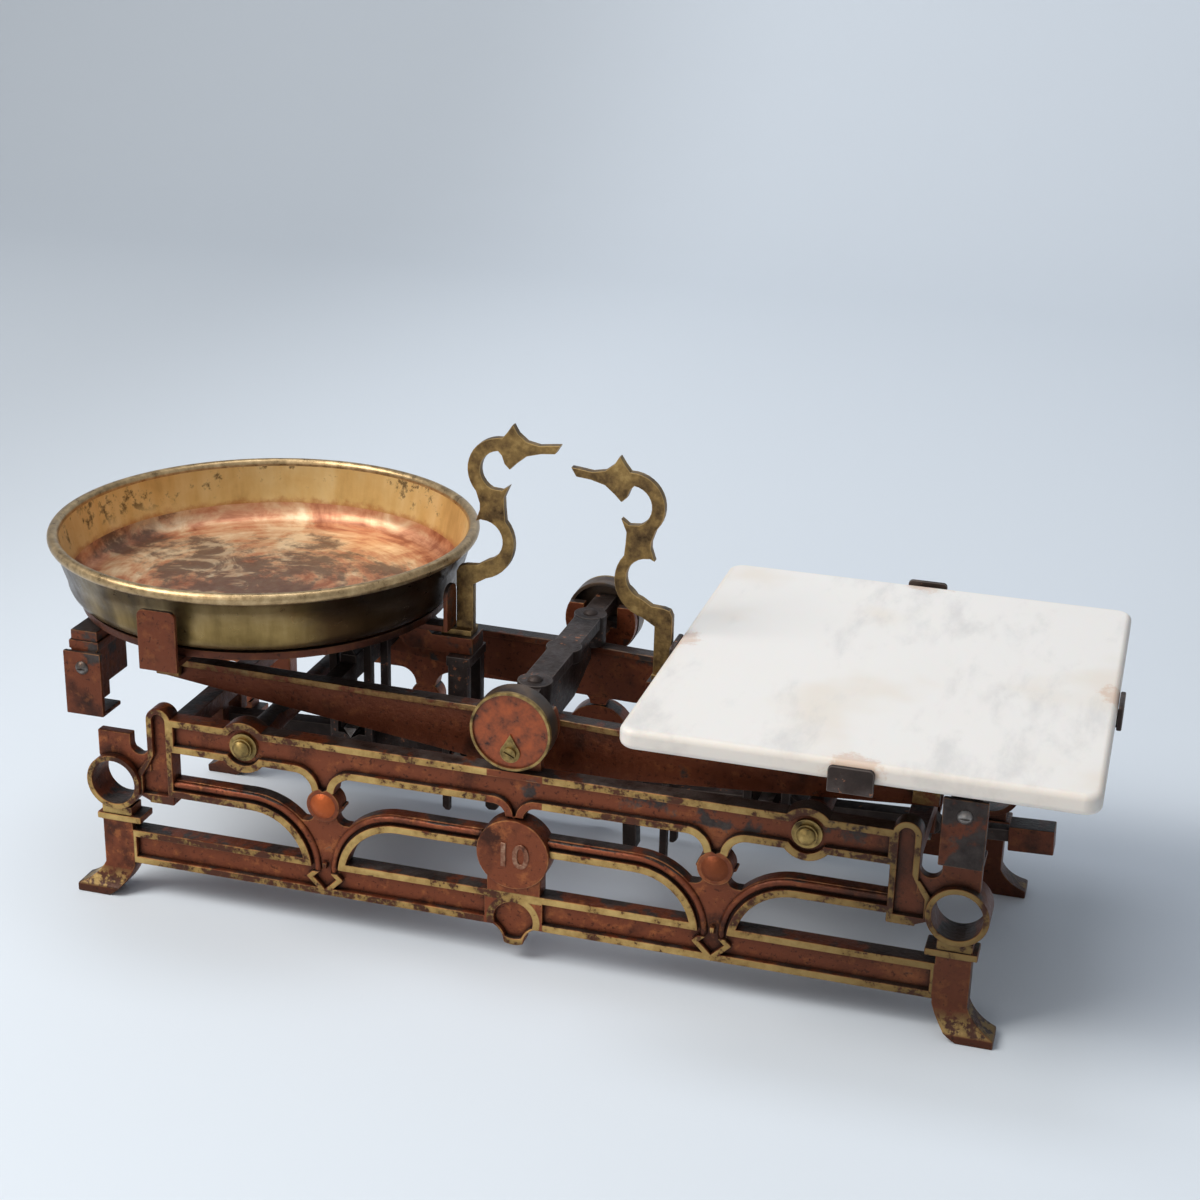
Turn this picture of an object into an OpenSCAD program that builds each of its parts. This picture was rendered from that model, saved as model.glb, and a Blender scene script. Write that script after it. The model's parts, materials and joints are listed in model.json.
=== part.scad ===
// Counter balance of the kind with two covered levers under the pans.
// A pair of ornamental side castings carries a main beam on steel knives. A brass pan and a
// marble slab stand on two carriers, which the beam and two lower levers keep upright.
// X runs along the length with the pan at -X, the decorated front faces -Y, and Z is up.
// The feet stand on z = 0. The model is drawn at rest, with the slab side down on its stops.

/* [Overall] */
// Distance between the centres of the two end rings
ring_spacing = 470; // [450:1:500]
// Distance over the front faces of the two side castings
frame_w = 168; // [160:1:180]
// Height of the main knife edges above the table
pivot_z = 139; // [137:0.5:141]
// Distance of each end knife from the main knife
beam_arm = 212; // [210:0.5:214]
// Tilt of the beam at rest
rest_tilt = 1.5; // [0.5:0.05:1.6]

/* [Side castings] */
// Thickness of a side casting
casting_t = 11; // [9:0.5:13]
// Depth of the sunk panels
panel_depth = 3.2; // [1.5:0.1:4]
// Width of the raised edges round the panels
edge_w = 4.5; // [3.5:0.1:5]
// Height of the bottom rail above the table
bottom_rail_z = 20; // [18:0.5:22]
// Height of the bottom rail's section
bottom_rail_h = 21; // [19:0.5:22]
// Height of the top rail's underside
top_rail_z = 92.5; // [91:0.5:94]
// Height of the top rail's section
top_rail_h = 20; // [18:0.5:20.5]
// Distance of the two diamonds and domes from the middle
diamond_x = 109.4; // [107:0.2:112]
// Half diagonal of a diamond
diamond_r = 11; // [9.5:0.1:11]
// Mean radius of the arches
arch_r = 36; // [35:0.2:37]
// Width of an arch
arch_w = 10; // [8:0.2:11]
// Radius of the disc behind a dome
dome_disc_r = 9.7; // [9:0.1:10.5]
// Radius of a dome
dome_r = 7.4; // [6:0.1:8]
// Radius of the round shield in the middle
shield_r = 20.3; // [18:0.1:21]
// Height of the centre of the shield
shield_z = 65; // [64:0.2:66]
// Width of the web under the shield
shield_web_w = 30; // [26:0.5:32]
// How far the shield stands proud of the front
shield_proud = 2.5; // [1:0.1:4]
// Radius of the pendant under the bottom rail
pendant_r = 15; // [12:0.2:16]
// Distance from the bottom rail to the tip of the pendant
pendant_drop = 6.5; // [4:0.1:9]
// Outer radius of an end ring
ring_r = 16.3; // [15.5:0.1:17]
// Bore radius of an end ring
ring_bore_r = 13; // [10:0.1:13.5]
// Length of an end ring along its bore
ring_len = 20; // [18:0.5:22]
// Height of the centre of an end ring
ring_z = 70; // [69:0.2:71]
// Width of an end column
column_w = 15; // [13:0.5:16]
// Distance of the middle of an end column from the middle of the scale
column_x = 206.5; // [205.5:0.5:207.5]
// Height of an end column's round top
column_top_z = 118; // [116:0.5:119]
// Height of an end column's foot
column_foot_z = 60; // [58:0.5:62]
// Height of the travel stops
stop_z = 99.5; // [98:0.5:101]
// Width of a travel stop
stop_w = 20; // [16:0.5:21]
// Thickness of a travel stop
stop_t = 6; // [5:0.5:7]
// Width of a leg
leg_w = 18.5; // [16:0.5:20]
// Thickness of a leg
leg_t = 12; // [10:0.5:13]
// Height at which a leg turns into its foot
foot_z = 18; // [15:0.5:19.5]
// How far a foot reaches outwards
foot_out = 15; // [10:0.5:18]
// How far a foot reaches to the front
foot_front = 6.5; // [3:0.5:8]
// Width of the ledge over a leg
ledge_w = 27; // [24:0.5:29]
// Thickness of the ledge over a leg
ledge_t = 4; // [3:0.5:5]

/* [Tie rods] */
// Distance of the tie rods from the middle
tie_x = 156; // [154:0.5:158]
// Height of the tie rods
tie_z = 102.3; // [102:0.1:103]
// Radius of the bosses round the tie rods
tie_boss_r = 15; // [13:0.5:15]
// Radius of a tie rod
tie_rod_r = 4.5; // [3.5:0.1:5]
// Outer radius of a spacer tube
spacer_r = 7; // [6:0.1:7.2]
// Radius of a washer
washer_r = 8; // [7:0.1:9]
// Thickness of a washer
washer_t = 2.4; // [1.5:0.1:3]
// Radius of a domed nut
nut_r = 4.8; // [4.6:0.1:6]

/* [Bearing housings] */
// Outer radius of a drum cap
cap_r = 22; // [20:0.2:23]
// Depth of a drum cap
cap_depth = 13.3; // [12:0.1:15]
// Wall of a drum cap
cap_wall = 2; // [1.5:0.1:2.5]
// Thickness of the plate behind a drum cap
hub_plate_t = 6; // [5:0.5:7]
// Radius of the plate behind a drum cap
hub_plate_r = 21.5; // [21:0.1:22]
// Height over the knife edges at which that plate is cut off
hub_plate_top = 10; // [8:0.5:12]
// Width of the slot in that plate
hub_slot_w = 20; // [19:0.5:22]
// Width of the neck between that plate and the top rail
hub_neck_w = 26; // [20:1:30]

/* [Beam] */
// Distance over the outer faces of the two rails
beam_w = 112; // [108:1:116]
// Width of a rail's top flange
flange_w = 9; // [8:0.5:10]
// Thickness of a rail's top flange
flange_t = 4; // [3:0.5:5]
// Thickness of a rail's web
web_t = 5; // [4:0.5:6]
// Depth of a rail at the middle
rail_depth_mid = 32.5; // [28:0.5:33]
// Depth of a rail at its ends
rail_depth_end = 11; // [9:0.5:13]
// Drop of a rail's top from the middle to its ends
rail_top_drop = 3.3; // [2:0.1:4]
// How far the rail's top lies under the knife edges at the middle
rail_sink = 5; // [4.5:0.1:6]
// Width of the cross bar's flange
cross_w = 15; // [12:0.5:16]
// Height of the cross bar's top over the knife edges
cross_top = 13; // [12:0.5:14]
// Radius of the cross bar's bosses
cross_boss_r = 9.5; // [8:0.1:10]
// Height of a knife
knife_h = 6; // [5:0.1:6.5]
// Half width of a knife at its root
knife_half = 4; // [3:0.1:4.5]

/* [Carriers] */
// Height of a carrier's frame over the knife edges
carrier_low = 4; // [3.5:0.1:5]
// Height of the faces that the pan and the slab stand on, over the knife edges
seat_high = 21.3; // [20:0.1:22]
// Thickness of the pan's and the slab's rests
rest_t = 4.4; // [3:0.1:5]
// Width of the long arm of a carrier
spine_w = 18; // [14:0.5:20]
// Width of an end bar
end_bar_w = 18; // [14:0.5:18]
// Distance of the pan carrier's end bar from the middle
left_end_x = 247.3; // [240:0.1:250]
// Distance of the slab carrier's end bar from the middle
right_end_x = 234.5; // [233:0.1:240]
// Distance over the two guard plates
guard_span = 180; // [176:0.5:184]
// Width of a guard plate
guard_w = 22.5; // [18:0.5:24]
// Thickness of a guard plate
guard_t = 3; // [2:0.1:3.5]
// Depth of a guard plate's lip
guard_lip = 20; // [16:0.5:22]
// Thickness of a guard plate's lip
guard_lip_t = 2.5; // [2:0.1:3]

/* [Pan] */
// Distance of the pan's centre from the middle
pan_x = 177; // [176:0.1:180]
// Outer radius of the pan over its rolled rim
pan_rim_r = 120.6; // [118:0.1:121]
// Height of the pan
pan_h = 38; // [34:0.5:42]
// Radius of the pan's flat bottom
pan_bottom_r = 99; // [98:0.5:101]
// Radius of the pan's lower corner
pan_corner_r = 12; // [8:0.5:13]
// Thickness of the sheet brass
pan_t = 1.4; // [1.2:0.1:2]
// Radius of the rolled rim's section
pan_roll_r = 3.2; // [2.5:0.1:4]
// Outer radius of the ring that the pan stands on
rest_ring_r = 104; // [98:0.5:105]
// Height of a pan clip
pan_clip_h = 34; // [26:0.5:36]
// Width of a pan clip
pan_clip_w = 22; // [18:0.5:24]
// Distance of the front and rear pan clips from the middle
pan_clip_x = 184.6; // [180:0.1:188]

/* [Slab] */
// Distance of the slab's centre from the middle
slab_x = 182.6; // [182:0.1:190]
// Size of the slab along the scale
slab_l = 233.3; // [230:0.1:234]
// Size of the slab across the scale
slab_w = 252.7; // [240:0.1:256]
// Thickness of the slab
slab_t = 11; // [9:0.1:13]
// Radius of the slab's corners
slab_corner_r = 9; // [7:0.5:14]
// Radius of the slab's rounded edges
slab_edge_r = 3.5; // [1.5:0.1:4.5]
// Height of a slab clip over the slab's underside
slab_clip_h = 9; // [6:0.1:9.5]
// Height of the rear slab clip over the slab's underside
slab_back_clip_h = 13; // [11:0.1:14]
// Width of a slab clip
slab_clip_w = 22.5; // [18:0.5:24]
// Thickness of the clips
clip_t = 2.7; // [2:0.1:3.5]

/* [Pointers] */
// Distance of a pointer's post from the middle
pointer_x = 57; // [56:0.1:57.5]
// Thickness of a pointer
pointer_t = 5; // [3:0.5:6]
// Height of a pointer's foot over the knife edges
pointer_foot = 7.5; // [7:0.1:8]

/* [Lower levers] */
// Height of the lower levers' knife edges above the table
lever_z = 81; // [80:0.5:82]
// Distance of a lower lever's fixed knife from the middle
lever_fixed_x = 207; // [206:0.5:208]
// Thickness of a lower lever
lever_t = 10; // [8:0.5:11]
// Depth of a lower lever under its knife edges
lever_below = 8; // [7.5:0.5:9]
// Distance of the tare block's outer face from the middle
tare_x1 = 275; // [262:1:280]
// Length of the tare block
tare_l = 24; // [16:1:30]
// Width and height of the tare block
tare_w = 14; // [12:0.5:16]
// Width and height of the lever's tail
tail_w = 7; // [5:0.5:8]
// Height of the tip of a lower lever's nose above the table
nose_z = 40; // [38:0.5:60]

/* [Clearances] */
// Gap between a knife edge and its bearing
knife_gap = 0.3; // [0.2:0.05:0.4]
// Gap between pieces that rest on each other but move apart
seat_gap = 0.3; // [0.25:0.05:0.4]
// Gap between a screw or rod and its hole
hole_gap = 0.1; // [0.05:0.05:0.2]

/* [Hidden] */
$fn = 64;

// Places on the side castings
ring_x = ring_spacing / 2;
front_y = frame_w / 2;
inner_y = front_y - casting_t;
bottom_rail_top = bottom_rail_z + bottom_rail_h;
top_rail_top = top_rail_z + top_rail_h;
bottom_mid_z = bottom_rail_z + bottom_rail_h / 2;
arch_z = top_rail_z - 22.5 - arch_r;
arch_dx = arch_r + 7;
bead_r = 2;
bead_off = 2.4;
dome_z = arch_z + arch_r + 4.8;
dome_neck = 6.5;
dome_bow_r = 10;
shield_neck = 5;
shield_bow_r = 7;
column_outer_x = column_x + column_w / 2;
column_inner_x = column_x - column_w / 2;
stop_back = 2;
scoop_r = (ring_x - stop_w / 2 - column_outer_x) / 2;
scoop_x = column_outer_x + scoop_r;
scoop_z = ring_z + ring_r + 1.7 + scoop_r;
foot_len = 19;
foot_tip_t = 5;
ledge_z = ring_z - ring_r - 4.2 - ledge_t;
ledge_d = 15;
hub_front_y = inner_y + hub_plate_t;
tie_recess_r = tie_boss_r - edge_w;
tie_boss_back = 6;
lower_bar_seat = 3;

// Beam and knives
rail_outer_y = beam_w / 2;
rail_mid_y = rail_outer_y - flange_w / 2;
rail_top_z = pivot_z - rail_sink;
rail_end_x = beam_arm + 8;
link_x = lever_fixed_x * beam_arm / (lever_fixed_x - pointer_x + beam_arm);
lever_ratio = link_x / (lever_fixed_x - link_x);
lever_tilt = rest_tilt * lever_ratio;
bearing_y = hub_front_y + cap_depth - cap_wall - 2.6;
knife_in_y = max(inner_y - 7, rail_mid_y + cross_boss_r + seat_gap);
cap_face_in = 1.5;

// Carriers
carrier_z = pivot_z + carrier_low;
seat_z = pivot_z + seat_high;
rest_z = seat_z - rest_t;
load_z = seat_z + seat_gap;
rise = beam_arm * sin(rest_tilt);
guard_low_z = stop_z + seat_gap + rise;
guard_top_z = carrier_z - 0.3;
guard_outer_y = guard_span / 2;
guard_screw_z = guard_top_z - 9;
guard_screw_r = 2.5;
guard_screw_l = 9;
foot_pad_z = pivot_z + pointer_foot;
pointer_half = 5;
pointer_toe = 13;
pointer_screw_in = 9.2;
pointer_screw_r = 2;
// End bars stay outside the rails, and the slab's inner clip outside its pointer
end_clear_x = rail_end_x + 1 + end_bar_w / 2;
left_bar_x = max(left_end_x, end_clear_x);
right_bar_x = max(right_end_x, end_clear_x);
slab_mid_x = max(slab_x, pointer_x + pointer_half + clip_t + 2 * seat_gap + slab_l / 2);
shackle_top = 6;
shackle_y = 10;
shackle_t = 5;
prong_y = lever_t / 2 + 3;
prong_t = 6;
knife_out_y = 16;

iron_paint = "#7a4030";
dark_iron = "#57504f";
steel = "#8c8c8a";
brass = "#9a7b45";
gold = "#a98a4c";
copper = "#9c5434";

// Helpers

// A flat shape drawn in X and Z, as a plate from y0 to y0 + t
module plate(y0, t) {
    translate([0, y0 + t, 0])
        rotate([90, 0, 0])
            linear_extrude(t)
                children();
}

// A round bar along Y
module y_bar(x, z, r, y0, y1) {
    translate([x, y0, z])
        rotate([-90, 0, 0])
            cylinder(r = r, h = y1 - y0);
}

// A box between two corners
module block(low, high) {
    translate(low)
        cube(high - low);
}

// A rectangle between two corners
module sheet(low, high) {
    translate(low)
        square(high - low);
}

// A flat disc drawn in X and Z
module disc(x, z, r) {
    translate([x, z])
        circle(r = r);
}

// The same shape on both sides of the middle
module both_ends() {
    for (end = [-1, 1])
        scale_x(end)
            children();
}

// The same shape at the front and at the back
module both_sides() {
    for (side = [0, 1])
        mirror([0, side, 0])
            children();
}

// The shape itself at +X, or its mirror image at -X
module scale_x(end) {
    if (end > 0)
        children();
    else
        mirror([1, 0, 0])
            children();
}

function arc(cx, cz, r, a0, a1, steps) =
    [for (i = [0:steps]) let (a = a0 + (a1 - a0) * i / steps) [cx + r * cos(a), cz + r * sin(a)]];

// Points between the ends of a quarter ellipse, half way between its curve and its chord
function bow(cx, cz, rx, rz, a0, a1) =
    [for (i = [0:8]) let (a = a0 + (a1 - a0) * i / 8, k = i / 8)
        [cx + rx * (cos(a) + cos(a0) * (1 - k) + cos(a1) * k) / 2,
         cz + rz * (sin(a) + sin(a0) * (1 - k) + sin(a1) * k) / 2]];

// Poses at rest: end is -1 for the pan side and 1 for the slab side

module beam_pose() {
    translate([0, 0, pivot_z])
        rotate([0, rest_tilt, 0])
            translate([0, 0, -pivot_z])
                children();
}

// What hangs on the beam at a distance d from the main knife and stays upright
module hung_pose(end, d) {
    translate([-end * d * (1 - cos(rest_tilt)), 0, -end * d * sin(rest_tilt)])
        children();
}

module lever_pose(end) {
    translate([end * lever_fixed_x, 0, lever_z])
        rotate([0, -lever_tilt, 0])
            translate([-end * lever_fixed_x, 0, -lever_z])
                children();
}

// Side castings

module bow_bracket(x, neck, bow_r) {
    difference() {
        sheet([x - neck - bow_r, top_rail_z - bow_r], [x + neck + bow_r, top_rail_z + 1]);
        for (end = [-1, 1])
            disc(x + end * (neck + bow_r), top_rail_z - bow_r, bow_r);
    }
}

module bow_panel(x, neck, bow_r, tip) {
    reach = neck + bow_r;
    high = top_rail_z + edge_w + 1;
    difference() {
        polygon([[x - reach, high], [x + reach, high], [x + reach, top_rail_z], [x, top_rail_z - tip],
            [x - reach, top_rail_z]]);
        for (end = [-1, 1])
            disc(x + end * (neck + bow_r), top_rail_z - bow_r, bow_r + edge_w);
    }
}

// One arch: a quarter ring and its level run; way is 1 for the outer and -1 for the inner arch
module arch(way, inner_r, outer_r) {
    cx = diamond_x + way * arch_dx;
    run_x = way > 0 ? column_inner_x + 1 : 0;
    difference() {
        disc(cx, arch_z, outer_r);
        disc(cx, arch_z, inner_r);
        sheet([cx - 60, arch_z - 60], [cx + 60, arch_z]);
        if (way > 0)
            sheet([cx, arch_z - 1], [cx + 60, arch_z + 60]);
        else
            sheet([cx - 60, arch_z - 1], [cx, arch_z + 60]);
    }
    sheet([min(cx, run_x), arch_z + inner_r], [max(cx, run_x), arch_z + outer_r]);
}

// The web between two arches, up to the dome's disc
module arch_web() {
    outer_r = arch_r + arch_w / 2;
    difference() {
        sheet([diamond_x - 16, bottom_rail_top - 1], [diamond_x + 16, arch_z + 29]);
        for (way = [-1, 1])
            disc(diamond_x + way * arch_dx, arch_z, outer_r - 1);
    }
    difference() {
        sheet([diamond_x - 11, arch_z + 28], [diamond_x + 11, dome_z]);
        for (way = [-1, 1])
            disc(diamond_x + way * (dome_neck + 5), arch_z + 34, 5);
    }
}

module ring_link() {
    polygon([[column_x, column_foot_z], [column_outer_x, column_foot_z + 1],
        [ring_x - ring_r + 2, ring_z - 6], [ring_x - ring_r + 2, ring_z + 8],
        [column_outer_x + 1, ring_z + 16], [column_x, ring_z + 20]]);
}

module half_outline() {
    sheet([-1, bottom_rail_z], [ring_x - leg_w / 2 + 1, bottom_rail_top]);
    sheet([-1, top_rail_z], [column_x, top_rail_top]);
    disc(tie_x, tie_z, tie_boss_r);
    sheet([column_inner_x, column_foot_z], [column_outer_x, column_top_z - column_w / 2]);
    disc(column_x, column_top_z - column_w / 2, column_w / 2);
    bow_bracket(diamond_x, dome_neck, dome_bow_r);
    disc(diamond_x, dome_z, dome_disc_r);
    arch_web();
    for (way = [-1, 1])
        arch(way, arch_r - arch_w / 2, arch_r + arch_w / 2);
    translate([diamond_x, bottom_mid_z])
        rotate(45)
            square(diamond_r * sqrt(2), center = true);
    ring_link();
}

module pendant_outline(r) {
    tip = bottom_rail_z - pendant_drop + (pendant_r - r) * 1.6;
    disc(0, bottom_rail_z + 4, r);
    polygon([[-r, bottom_rail_z], [r, bottom_rail_z], [0, tip]]);
}

module frame_outline() {
    both_ends()
        half_outline();
    bow_bracket(0, shield_neck, shield_bow_r);
    disc(0, shield_z, shield_r);
    sheet([-shield_web_w / 2, bottom_rail_top - 1], [shield_web_w / 2, shield_z - shield_r + 6]);
    difference() {
        pendant_outline(pendant_r);
        for (end = [-1, 1])
            disc(end * (pendant_r + 1.5), bottom_rail_z - 9.8, 11);
    }
}

// Panels sunk into the front, between the raised edges
module half_panels() {
    low = bottom_rail_z + edge_w;
    high = bottom_rail_top - edge_w;
    difference() {
        sheet([pendant_r + 1.5, low], [ring_x - leg_w / 2 - 2, high]);
        translate([diamond_x, bottom_mid_z])
            rotate(45)
                square(diamond_r * sqrt(2), center = true);
    }
    translate([diamond_x, bottom_mid_z])
        rotate(45)
            square((diamond_r - edge_w) * sqrt(2), center = true);
    sheet([-1, top_rail_z + edge_w], [column_inner_x - 1.5, top_rail_top - edge_w]);
    disc(tie_x, tie_z, tie_recess_r);
    bow_panel(diamond_x, dome_neck, dome_bow_r, 9);
    column_panel();
    // The arches' mouldings stand back behind their gold lower edges
    difference() {
        union() {
            for (way = [-1, 1])
                arch(way, arch_r - arch_w / 2 + edge_w, arch_r + arch_w / 2 + 1);
            arch_web();
            sheet([diamond_x - 16, bottom_rail_top], [diamond_x + 16, arch_z + 30]);
        }
        disc(diamond_x, dome_z, dome_disc_r);
        sheet([column_inner_x, 0], [column_inner_x + 60, 200]);
        disc(0, shield_z, shield_r);
        for (way = [-1, 1])
            intersection() {
                arch(way, arch_r - arch_w / 2 - 1, arch_r - arch_w / 2 + edge_w);
                sheet([0, arch_z], [column_inner_x, 200]);
            }
    }
}

// Half-round bead along the top of an arch
module arch_bead(way) {
    cx = diamond_x + way * arch_dx;
    r = arch_r + bead_off;
    run_x = way > 0 ? column_inner_x + 1 : shield_r - 2;
    translate([cx, -front_y + panel_depth, arch_z])
        rotate([90, way > 0 ? -90 : 0, 0])
            rotate_extrude(angle = 90)
                translate([r, 0])
                    circle(r = bead_r);
    translate([min(cx, run_x), -front_y + panel_depth, arch_z + r])
        rotate([0, 90, 0])
            cylinder(r = bead_r, h = abs(run_x - cx));
}

module column_panel() {
    slot_r = column_w / 2 - 3.6;
    slot_top = column_top_z - column_w / 2;
    sheet([column_x - slot_r, column_foot_z + edge_w + 1], [column_x + slot_r, slot_top]);
    disc(column_x, slot_top, slot_r);
    polygon([[column_x, column_foot_z + edge_w + 1], [ring_x - ring_r - 1, column_foot_z + edge_w + 1],
        [ring_x - ring_r - 1, ring_z + 6], [column_outer_x, ring_z + 12],
        [column_x + slot_r, ring_z + 19], [column_x, ring_z + 19]]);
}

module frame_panels() {
    both_ends()
        half_panels();
    bow_panel(0, shield_neck, shield_bow_r, 6);
    difference() {
        pendant_outline(pendant_r - edge_w + 0.5);
        for (end = [-1, 1])
            disc(end * (pendant_r + 1.5), bottom_rail_z - 9.8, 12.5);
    }
}

module hub_plate() {
    plate(-hub_front_y, hub_plate_t)
        difference() {
            union() {
                disc(0, pivot_z, hub_plate_r);
                sheet([-hub_neck_w / 2, top_rail_top - 2], [hub_neck_w / 2, pivot_z - 14]);
            }
            sheet([-hub_plate_r, pivot_z + hub_plate_top], [hub_plate_r, pivot_z + hub_plate_r]);
            sheet([-hub_slot_w / 2, pivot_z - 3], [hub_slot_w / 2, pivot_z + hub_plate_top + 1]);
            disc(0, pivot_z - 3, hub_slot_w / 2 - 4);
        }
}

// Leg, ledge, ring and stop at one end
module casting_end() {
    leg_x0 = ring_x - leg_w / 2;
    leg_x1 = ring_x + leg_w / 2;
    ring_y0 = -front_y - 2.6;
    difference() {
        y_bar(ring_x, ring_z, ring_r, ring_y0, ring_y0 + ring_len);
        y_bar(ring_x, ring_z, ring_bore_r, ring_y0 - 1, ring_y0 + ring_len + 1);
    }
    block([leg_x0, -front_y, foot_z], [leg_x1, -front_y + leg_t, ledge_z + 1]);
    block([leg_x0, -front_y, ledge_z], [leg_x1, -front_y + leg_t, ring_z - ring_r + 1]);
    block([ring_x - ledge_w / 2 - 1.5, -front_y - 1, ledge_z],
        [ring_x + ledge_w / 2 - 1.5, -front_y - 1 + ledge_d, ledge_z + ledge_t]);
    difference() {
        block([ring_x - stop_w / 2, -front_y + stop_back, ring_z + ring_r - 3],
            [ring_x + stop_w / 2, -front_y + stop_back + stop_t, stop_z]);
        y_bar(ring_x, ring_z, ring_bore_r, -front_y - 3, -front_y + ring_len);
    }
    difference() {
        block([column_outer_x - 1, -front_y + stop_back, ring_z + 8],
            [ring_x - stop_w / 2 + 1, -front_y + stop_back + stop_t, scoop_z]);
        y_bar(scoop_x, scoop_z, scoop_r, -front_y, -front_y + ring_len);
        y_bar(ring_x, ring_z, ring_bore_r, -front_y, -front_y + ring_len);
    }
    casting_foot();
}

// A foot is the crossing of two curved profiles: one sweeps outwards, the other to the front
module casting_foot() {
    leg_x0 = ring_x - leg_w / 2;
    leg_x1 = ring_x + leg_w / 2;
    toe_x = leg_x1 + foot_out;
    heel_x = toe_x - foot_len;
    toe_y = -front_y - foot_front;
    heel_y = -front_y + leg_t - 3;
    top = foot_z + 1;
    intersection() {
        plate(toe_y - 1, leg_t + foot_front + 2)
            polygon(concat([[leg_x0, top], [leg_x0, foot_z]],
                bow(heel_x, foot_z, heel_x - leg_x0, foot_z, 180, 270),
                [[toe_x, 0], [toe_x, foot_tip_t]],
                bow(toe_x, foot_z, foot_out, foot_z - foot_tip_t, 270, 180),
                [[leg_x1, top]]));
        translate([leg_x0 - 1, 0, 0])
            rotate([90, 0, 90])
                linear_extrude(leg_w + foot_out + 2)
                    polygon(concat([[heel_y, 0], [-front_y + leg_t, foot_z], [-front_y + leg_t, top],
                        [-front_y, top]],
                        bow(toe_y, foot_z, foot_front, foot_z - foot_tip_t, 0, -90),
                        [[toe_y, 0]]));
    }
}

module side_frame() {
    difference() {
        union() {
            difference() {
                plate(-front_y, casting_t)
                    frame_outline();
                plate(-front_y - 1, panel_depth + 1)
                    frame_panels();
            }
            plate(-front_y - shield_proud, shield_proud + casting_t - 1)
                disc(0, shield_z, shield_r);
            hub_plate();
            both_ends() {
                casting_end();
                y_bar(tie_x, tie_z, tie_recess_r - 1, -inner_y - 1, -inner_y + tie_boss_back);
                dome();
                for (way = [-1, 1])
                    arch_bead(way);
            }
        }
        both_ends() {
            y_bar(tie_x, tie_z, tie_rod_r + hole_gap, -front_y - 1, -inner_y + tie_boss_back + 1);
            block([lever_fixed_x - 6, -inner_y - lower_bar_seat, lever_z + 10],
                [lever_fixed_x + 6, -inner_y + 1, lever_z + 20]);
        }
        y_bar(0, pivot_z - 12, 2 + hole_gap, -hub_front_y - 1, -inner_y + 1);
    }
}

// A dome is the cap of a ball, standing on its disc
module dome() {
    high = 3.2;
    ball = (dome_r * dome_r + high * high) / (2 * high);
    intersection() {
        translate([diamond_x, -front_y - high + ball, dome_z])
            sphere(r = ball);
        y_bar(diamond_x, dome_z, dome_r + 0.5, -front_y - high - 1, -front_y + 1);
    }
}

module front_side_frame() {
    color(iron_paint)
        side_frame();
}

module rear_side_frame() {
    color(iron_paint)
        mirror([0, 1, 0])
            side_frame();
}

module tie_rods() {
    color(brass)
        both_ends()
            y_bar(tie_x, tie_z, tie_rod_r, -front_y - 0.5, front_y + 0.5);
}

module spacer_tubes() {
    reach = inner_y - tie_boss_back;
    color(iron_paint)
        both_ends()
            difference() {
                y_bar(tie_x, tie_z, spacer_r, -reach, reach);
                y_bar(tie_x, tie_z, tie_rod_r + hole_gap, -reach - 1, reach + 1);
            }
}

module tie_washers() {
    seat = front_y - panel_depth;
    color(gold)
        both_sides()
            both_ends()
                difference() {
                    y_bar(tie_x, tie_z, washer_r, -seat - washer_t, -seat);
                    y_bar(tie_x, tie_z, tie_rod_r + hole_gap, -seat - washer_t - 1, -seat + 1);
                }
}

// Domed nuts, hollow over the ends of the rods
module tie_nuts() {
    seat = front_y - panel_depth + washer_t;
    color(gold)
        both_sides()
            both_ends()
                translate([tie_x, -seat, tie_z])
                    rotate([90, 0, 0])
                        rotate_extrude()
                            difference() {
                                union() {
                                    square([nut_r + 1, 2]);
                                    intersection() {
                                        translate([0, -1])
                                            circle(r = nut_r + 1.6);
                                        square([nut_r, 12]);
                                    }
                                }
                                square([tie_rod_r, front_y + 0.5 - seat]);
                            }
}

// Bars across the frame whose lugs hold down the fixed knives of the lower levers

module bearing_notch(x, z, gap) {
    polygon([[x, z + gap], [x - 7, z + gap - 4], [x - 7, z - 12], [x + 7, z - 12],
        [x + 7, z + gap - 4]]);
}

module fulcrum_bar(end) {
    reach = inner_y + lower_bar_seat;
    color(iron_paint)
        scale_x(end) {
            block([lever_fixed_x - 6, -reach, lever_z + 10], [lever_fixed_x + 6, reach, lever_z + 20]);
            both_sides()
                plate(-prong_y - 8, 8)
                    difference() {
                        sheet([lever_fixed_x - 6, lever_z - 2], [lever_fixed_x + 6, lever_z + 11]);
                        bearing_notch(lever_fixed_x, lever_z, knife_gap);
                    }
        }
}

module left_fulcrum_bar() {
    fulcrum_bar(-1);
}

module right_fulcrum_bar() {
    fulcrum_bar(1);
}

// Main bearings and their drum caps

module main_bearings() {
    color(steel)
        both_sides()
            difference() {
                plate(-bearing_y, bearing_y - hub_front_y)
                    difference() {
                        sheet([-9, pivot_z - 17], [9, pivot_z]);
                        polygon([[0, pivot_z - knife_gap - 2], [-5, pivot_z + 1], [5, pivot_z + 1]]);
                        sheet([-9.1, pivot_z - 1.2], [9.1, pivot_z + 1]);
                    }
                y_bar(0, pivot_z - 12, 2 + hole_gap, -bearing_y - 1, -hub_front_y + 1);
            }
}

module bearing_cap() {
    lip = 1.6;
    color(copper)
        difference() {
            translate([0, -hub_front_y, pivot_z])
                rotate([90, 0, 0])
                    rotate_extrude()
                        difference() {
                            square([cap_r, cap_depth]);
                            square([cap_r - cap_wall, cap_depth - cap_wall - cap_face_in]);
                            translate([0, cap_depth - cap_face_in])
                                square([cap_r - lip, cap_face_in + 1]);
                        }
            y_bar(0, pivot_z - 12, 2 + hole_gap, -hub_front_y - cap_depth - 1, -hub_front_y - 3);
        }
}

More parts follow.
